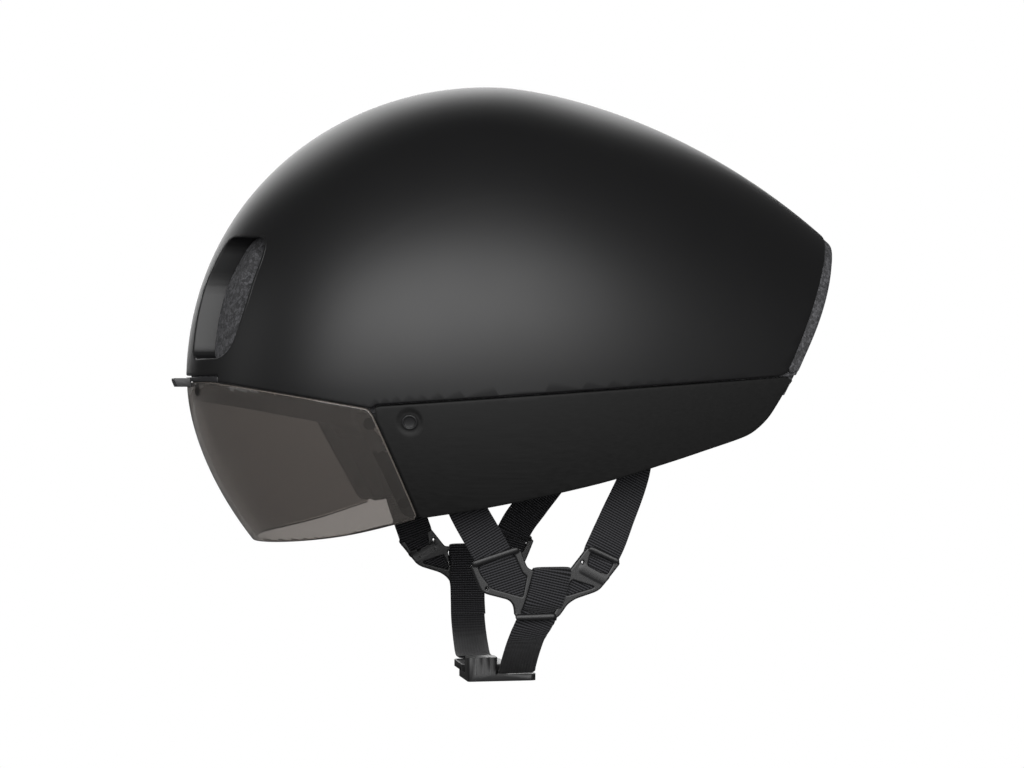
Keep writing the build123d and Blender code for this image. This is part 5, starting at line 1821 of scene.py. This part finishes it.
@dataclass
class Studio:
    """Camera, lamps, floor and a white surround.

    Args:
        aim: place that the camera looks at, in millimetres.
        distance: its distance from there in millimetres.
        azimuth: its turn from square to the near side, in degrees.
        lens: its focal length on a 36 mm sensor.
        floor_level: height of the floor in millimetres.
        floor_half: half the floor's side in metres.
        floor_colour: sRGB colour of the floor's paper.
        fill_light: share of the surround's white that lights the helmet.
        boxes: place, size and power of each soft box, and the place that it faces, in metres and watts.
    """

    aim: tuple[float, float, float] = (28.0, 0.0, 0.0)
    distance: float = 1150.0
    azimuth: float = -11.0
    lens: float = 85.1
    floor_level: float = -150.0
    floor_half: float = 4.0
    floor_colour: str = "606060"
    fill_light: float = 0.08
    boxes: dict[str, tuple[tuple[float, ...], tuple[float, float], float, tuple[float, ...]]] = field(
        default_factory=lambda: {
            "side_box": ((-0.25, -1.95, 0.5), (3.2, 1.6), 66, (0.0, 0, 0.0)),
            "back_box": ((0.1, 1.7, 0.8), (1.8, 1.6), 25, (0.03, 0, 0.05)),
            "front_box": ((-1.9, 0.1, 0.3), (0.8, 1.0), 2, (0.0, 0, 0.0)),
        })

    def build(self) -> None:
        """Sets the whole studio up."""
        self.camera()
        self.lamps()
        self.floor()
        self.world()
        bpy.context.scene.view_settings.view_transform = "Standard"

    def camera(self) -> None:
        """Camera at the photograph's angle, level with the brow."""
        turn = self.azimuth * DEG
        back = Vector((math.sin(turn), -math.cos(turn), 0))
        data = bpy.data.cameras.new("camera")
        data.lens = self.lens
        data.sensor_width = 36
        camera = bpy.data.objects.new("camera", data)
        camera.location = (Vector(self.aim) + back * self.distance) * MM
        camera.rotation_mode = "QUATERNION"
        camera.rotation_quaternion = (-back).to_track_quat("-Z", "Y")
        bpy.context.scene.collection.objects.link(camera)
        bpy.context.scene.camera = camera

    def lamp(self, name: str, place: tuple[float, float, float], size: tuple[float, float], power: float,
             aim: tuple[float, float, float]) -> None:
        """Adds one soft box that faces a place, sizes in metres.

        Args:
            name: the lamp's name.
            place: where it stands.
            size: its width and height.
            power: its power in watts.
            aim: the place that it faces.
        """
        data = bpy.data.lights.new(name, "AREA")
        data.shape = "RECTANGLE"
        data.size, data.size_y = size
        data.energy = power
        lamp = bpy.data.objects.new(name, data)
        lamp.location = place
        lamp.rotation_mode = "QUATERNION"
        lamp.rotation_quaternion = (Vector(aim) - Vector(place)).to_track_quat("-Z", "Y")
        bpy.context.scene.collection.objects.link(lamp)

    def lamps(self) -> None:
        """A broad box in front of the near side, one behind and above, and a weak one ahead."""
        for name, box in self.boxes.items():
            self.lamp(name, *box)

    def floor(self) -> None:
        """Grey paper that throws a little light up, and that the camera and clear things look through."""
        half = self.floor_half
        mesh = bpy.data.meshes.new("floor")
        level = self.floor_level * MM
        mesh.from_pydata([(-half, -half, level), (half, -half, level), (half, half, level), (-half, half, level)], [],
                         [(0, 1, 2, 3)])
        material = bpy.data.materials.new("floor_paper")
        material.use_nodes = True
        tree = material.node_tree
        tree.nodes.clear()
        path = add_node(tree, "ShaderNodeLightPath")
        seen = add_node(tree, "ShaderNodeMath", {"operation": "MAXIMUM"},
                        {0: path.outputs["Is Camera Ray"], 1: path.outputs["Is Transmission Ray"]})
        paper = add_node(tree, "ShaderNodeBsdfDiffuse", {"Color": linear(self.floor_colour)})
        clear = add_node(tree, "ShaderNodeBsdfTransparent")
        mixed = add_node(tree, "ShaderNodeMixShader", links={0: seen.outputs[0], 1: paper.outputs[0],
                                                             2: clear.outputs[0]})
        add_node(tree, "ShaderNodeOutputMaterial", links={"Surface": mixed.outputs[0]})
        mesh.materials.append(material)
        floor = bpy.data.objects.new("floor", mesh)
        bpy.context.scene.collection.objects.link(floor)

    def world(self) -> None:
        """White where it is seen, and a plain grey level for the light it gives."""
        world = bpy.data.worlds.new("studio")
        world.use_nodes = True
        tree = world.node_tree
        tree.nodes.clear()
        path = add_node(tree, "ShaderNodeLightPath")
        seen = add_node(tree, "ShaderNodeMath", {"operation": "MAXIMUM"},
                        {0: path.outputs["Is Camera Ray"], 1: path.outputs["Is Transmission Ray"]})
        level = add_node(tree, "ShaderNodeMapRange", {"To Min": self.fill_light, "To Max": 1.0},
                         {"Value": seen.outputs[0]})
        light = add_node(tree, "ShaderNodeBackground", {"Color": (1, 1, 1, 1)}, {"Strength": level.outputs[0]})
        add_node(tree, "ShaderNodeOutputWorld", links={"Surface": light.outputs[0]})
        bpy.context.scene.world = world


def main() -> None:
    """Builds the helmet's looks sub-assembly by sub-assembly."""
    logging.basicConfig(level=logging.INFO, format="%(name)s: %(message)s")
    Studio().build()
    shell = Shell()
    covers = EarCovers()
    shell.build()
    covers.build(shell)
    Shield().build(shell, covers)
    Harness().build()
    for divider in (Divider(Side.LEFT, (29.1, -89.9)), Divider(Side.RIGHT, (19.0, -87.3))):
        divider.build()
    Lining().build()
    EasedParts().build()
    SolidParts().dress()


if __name__ == "__main__":
    main()
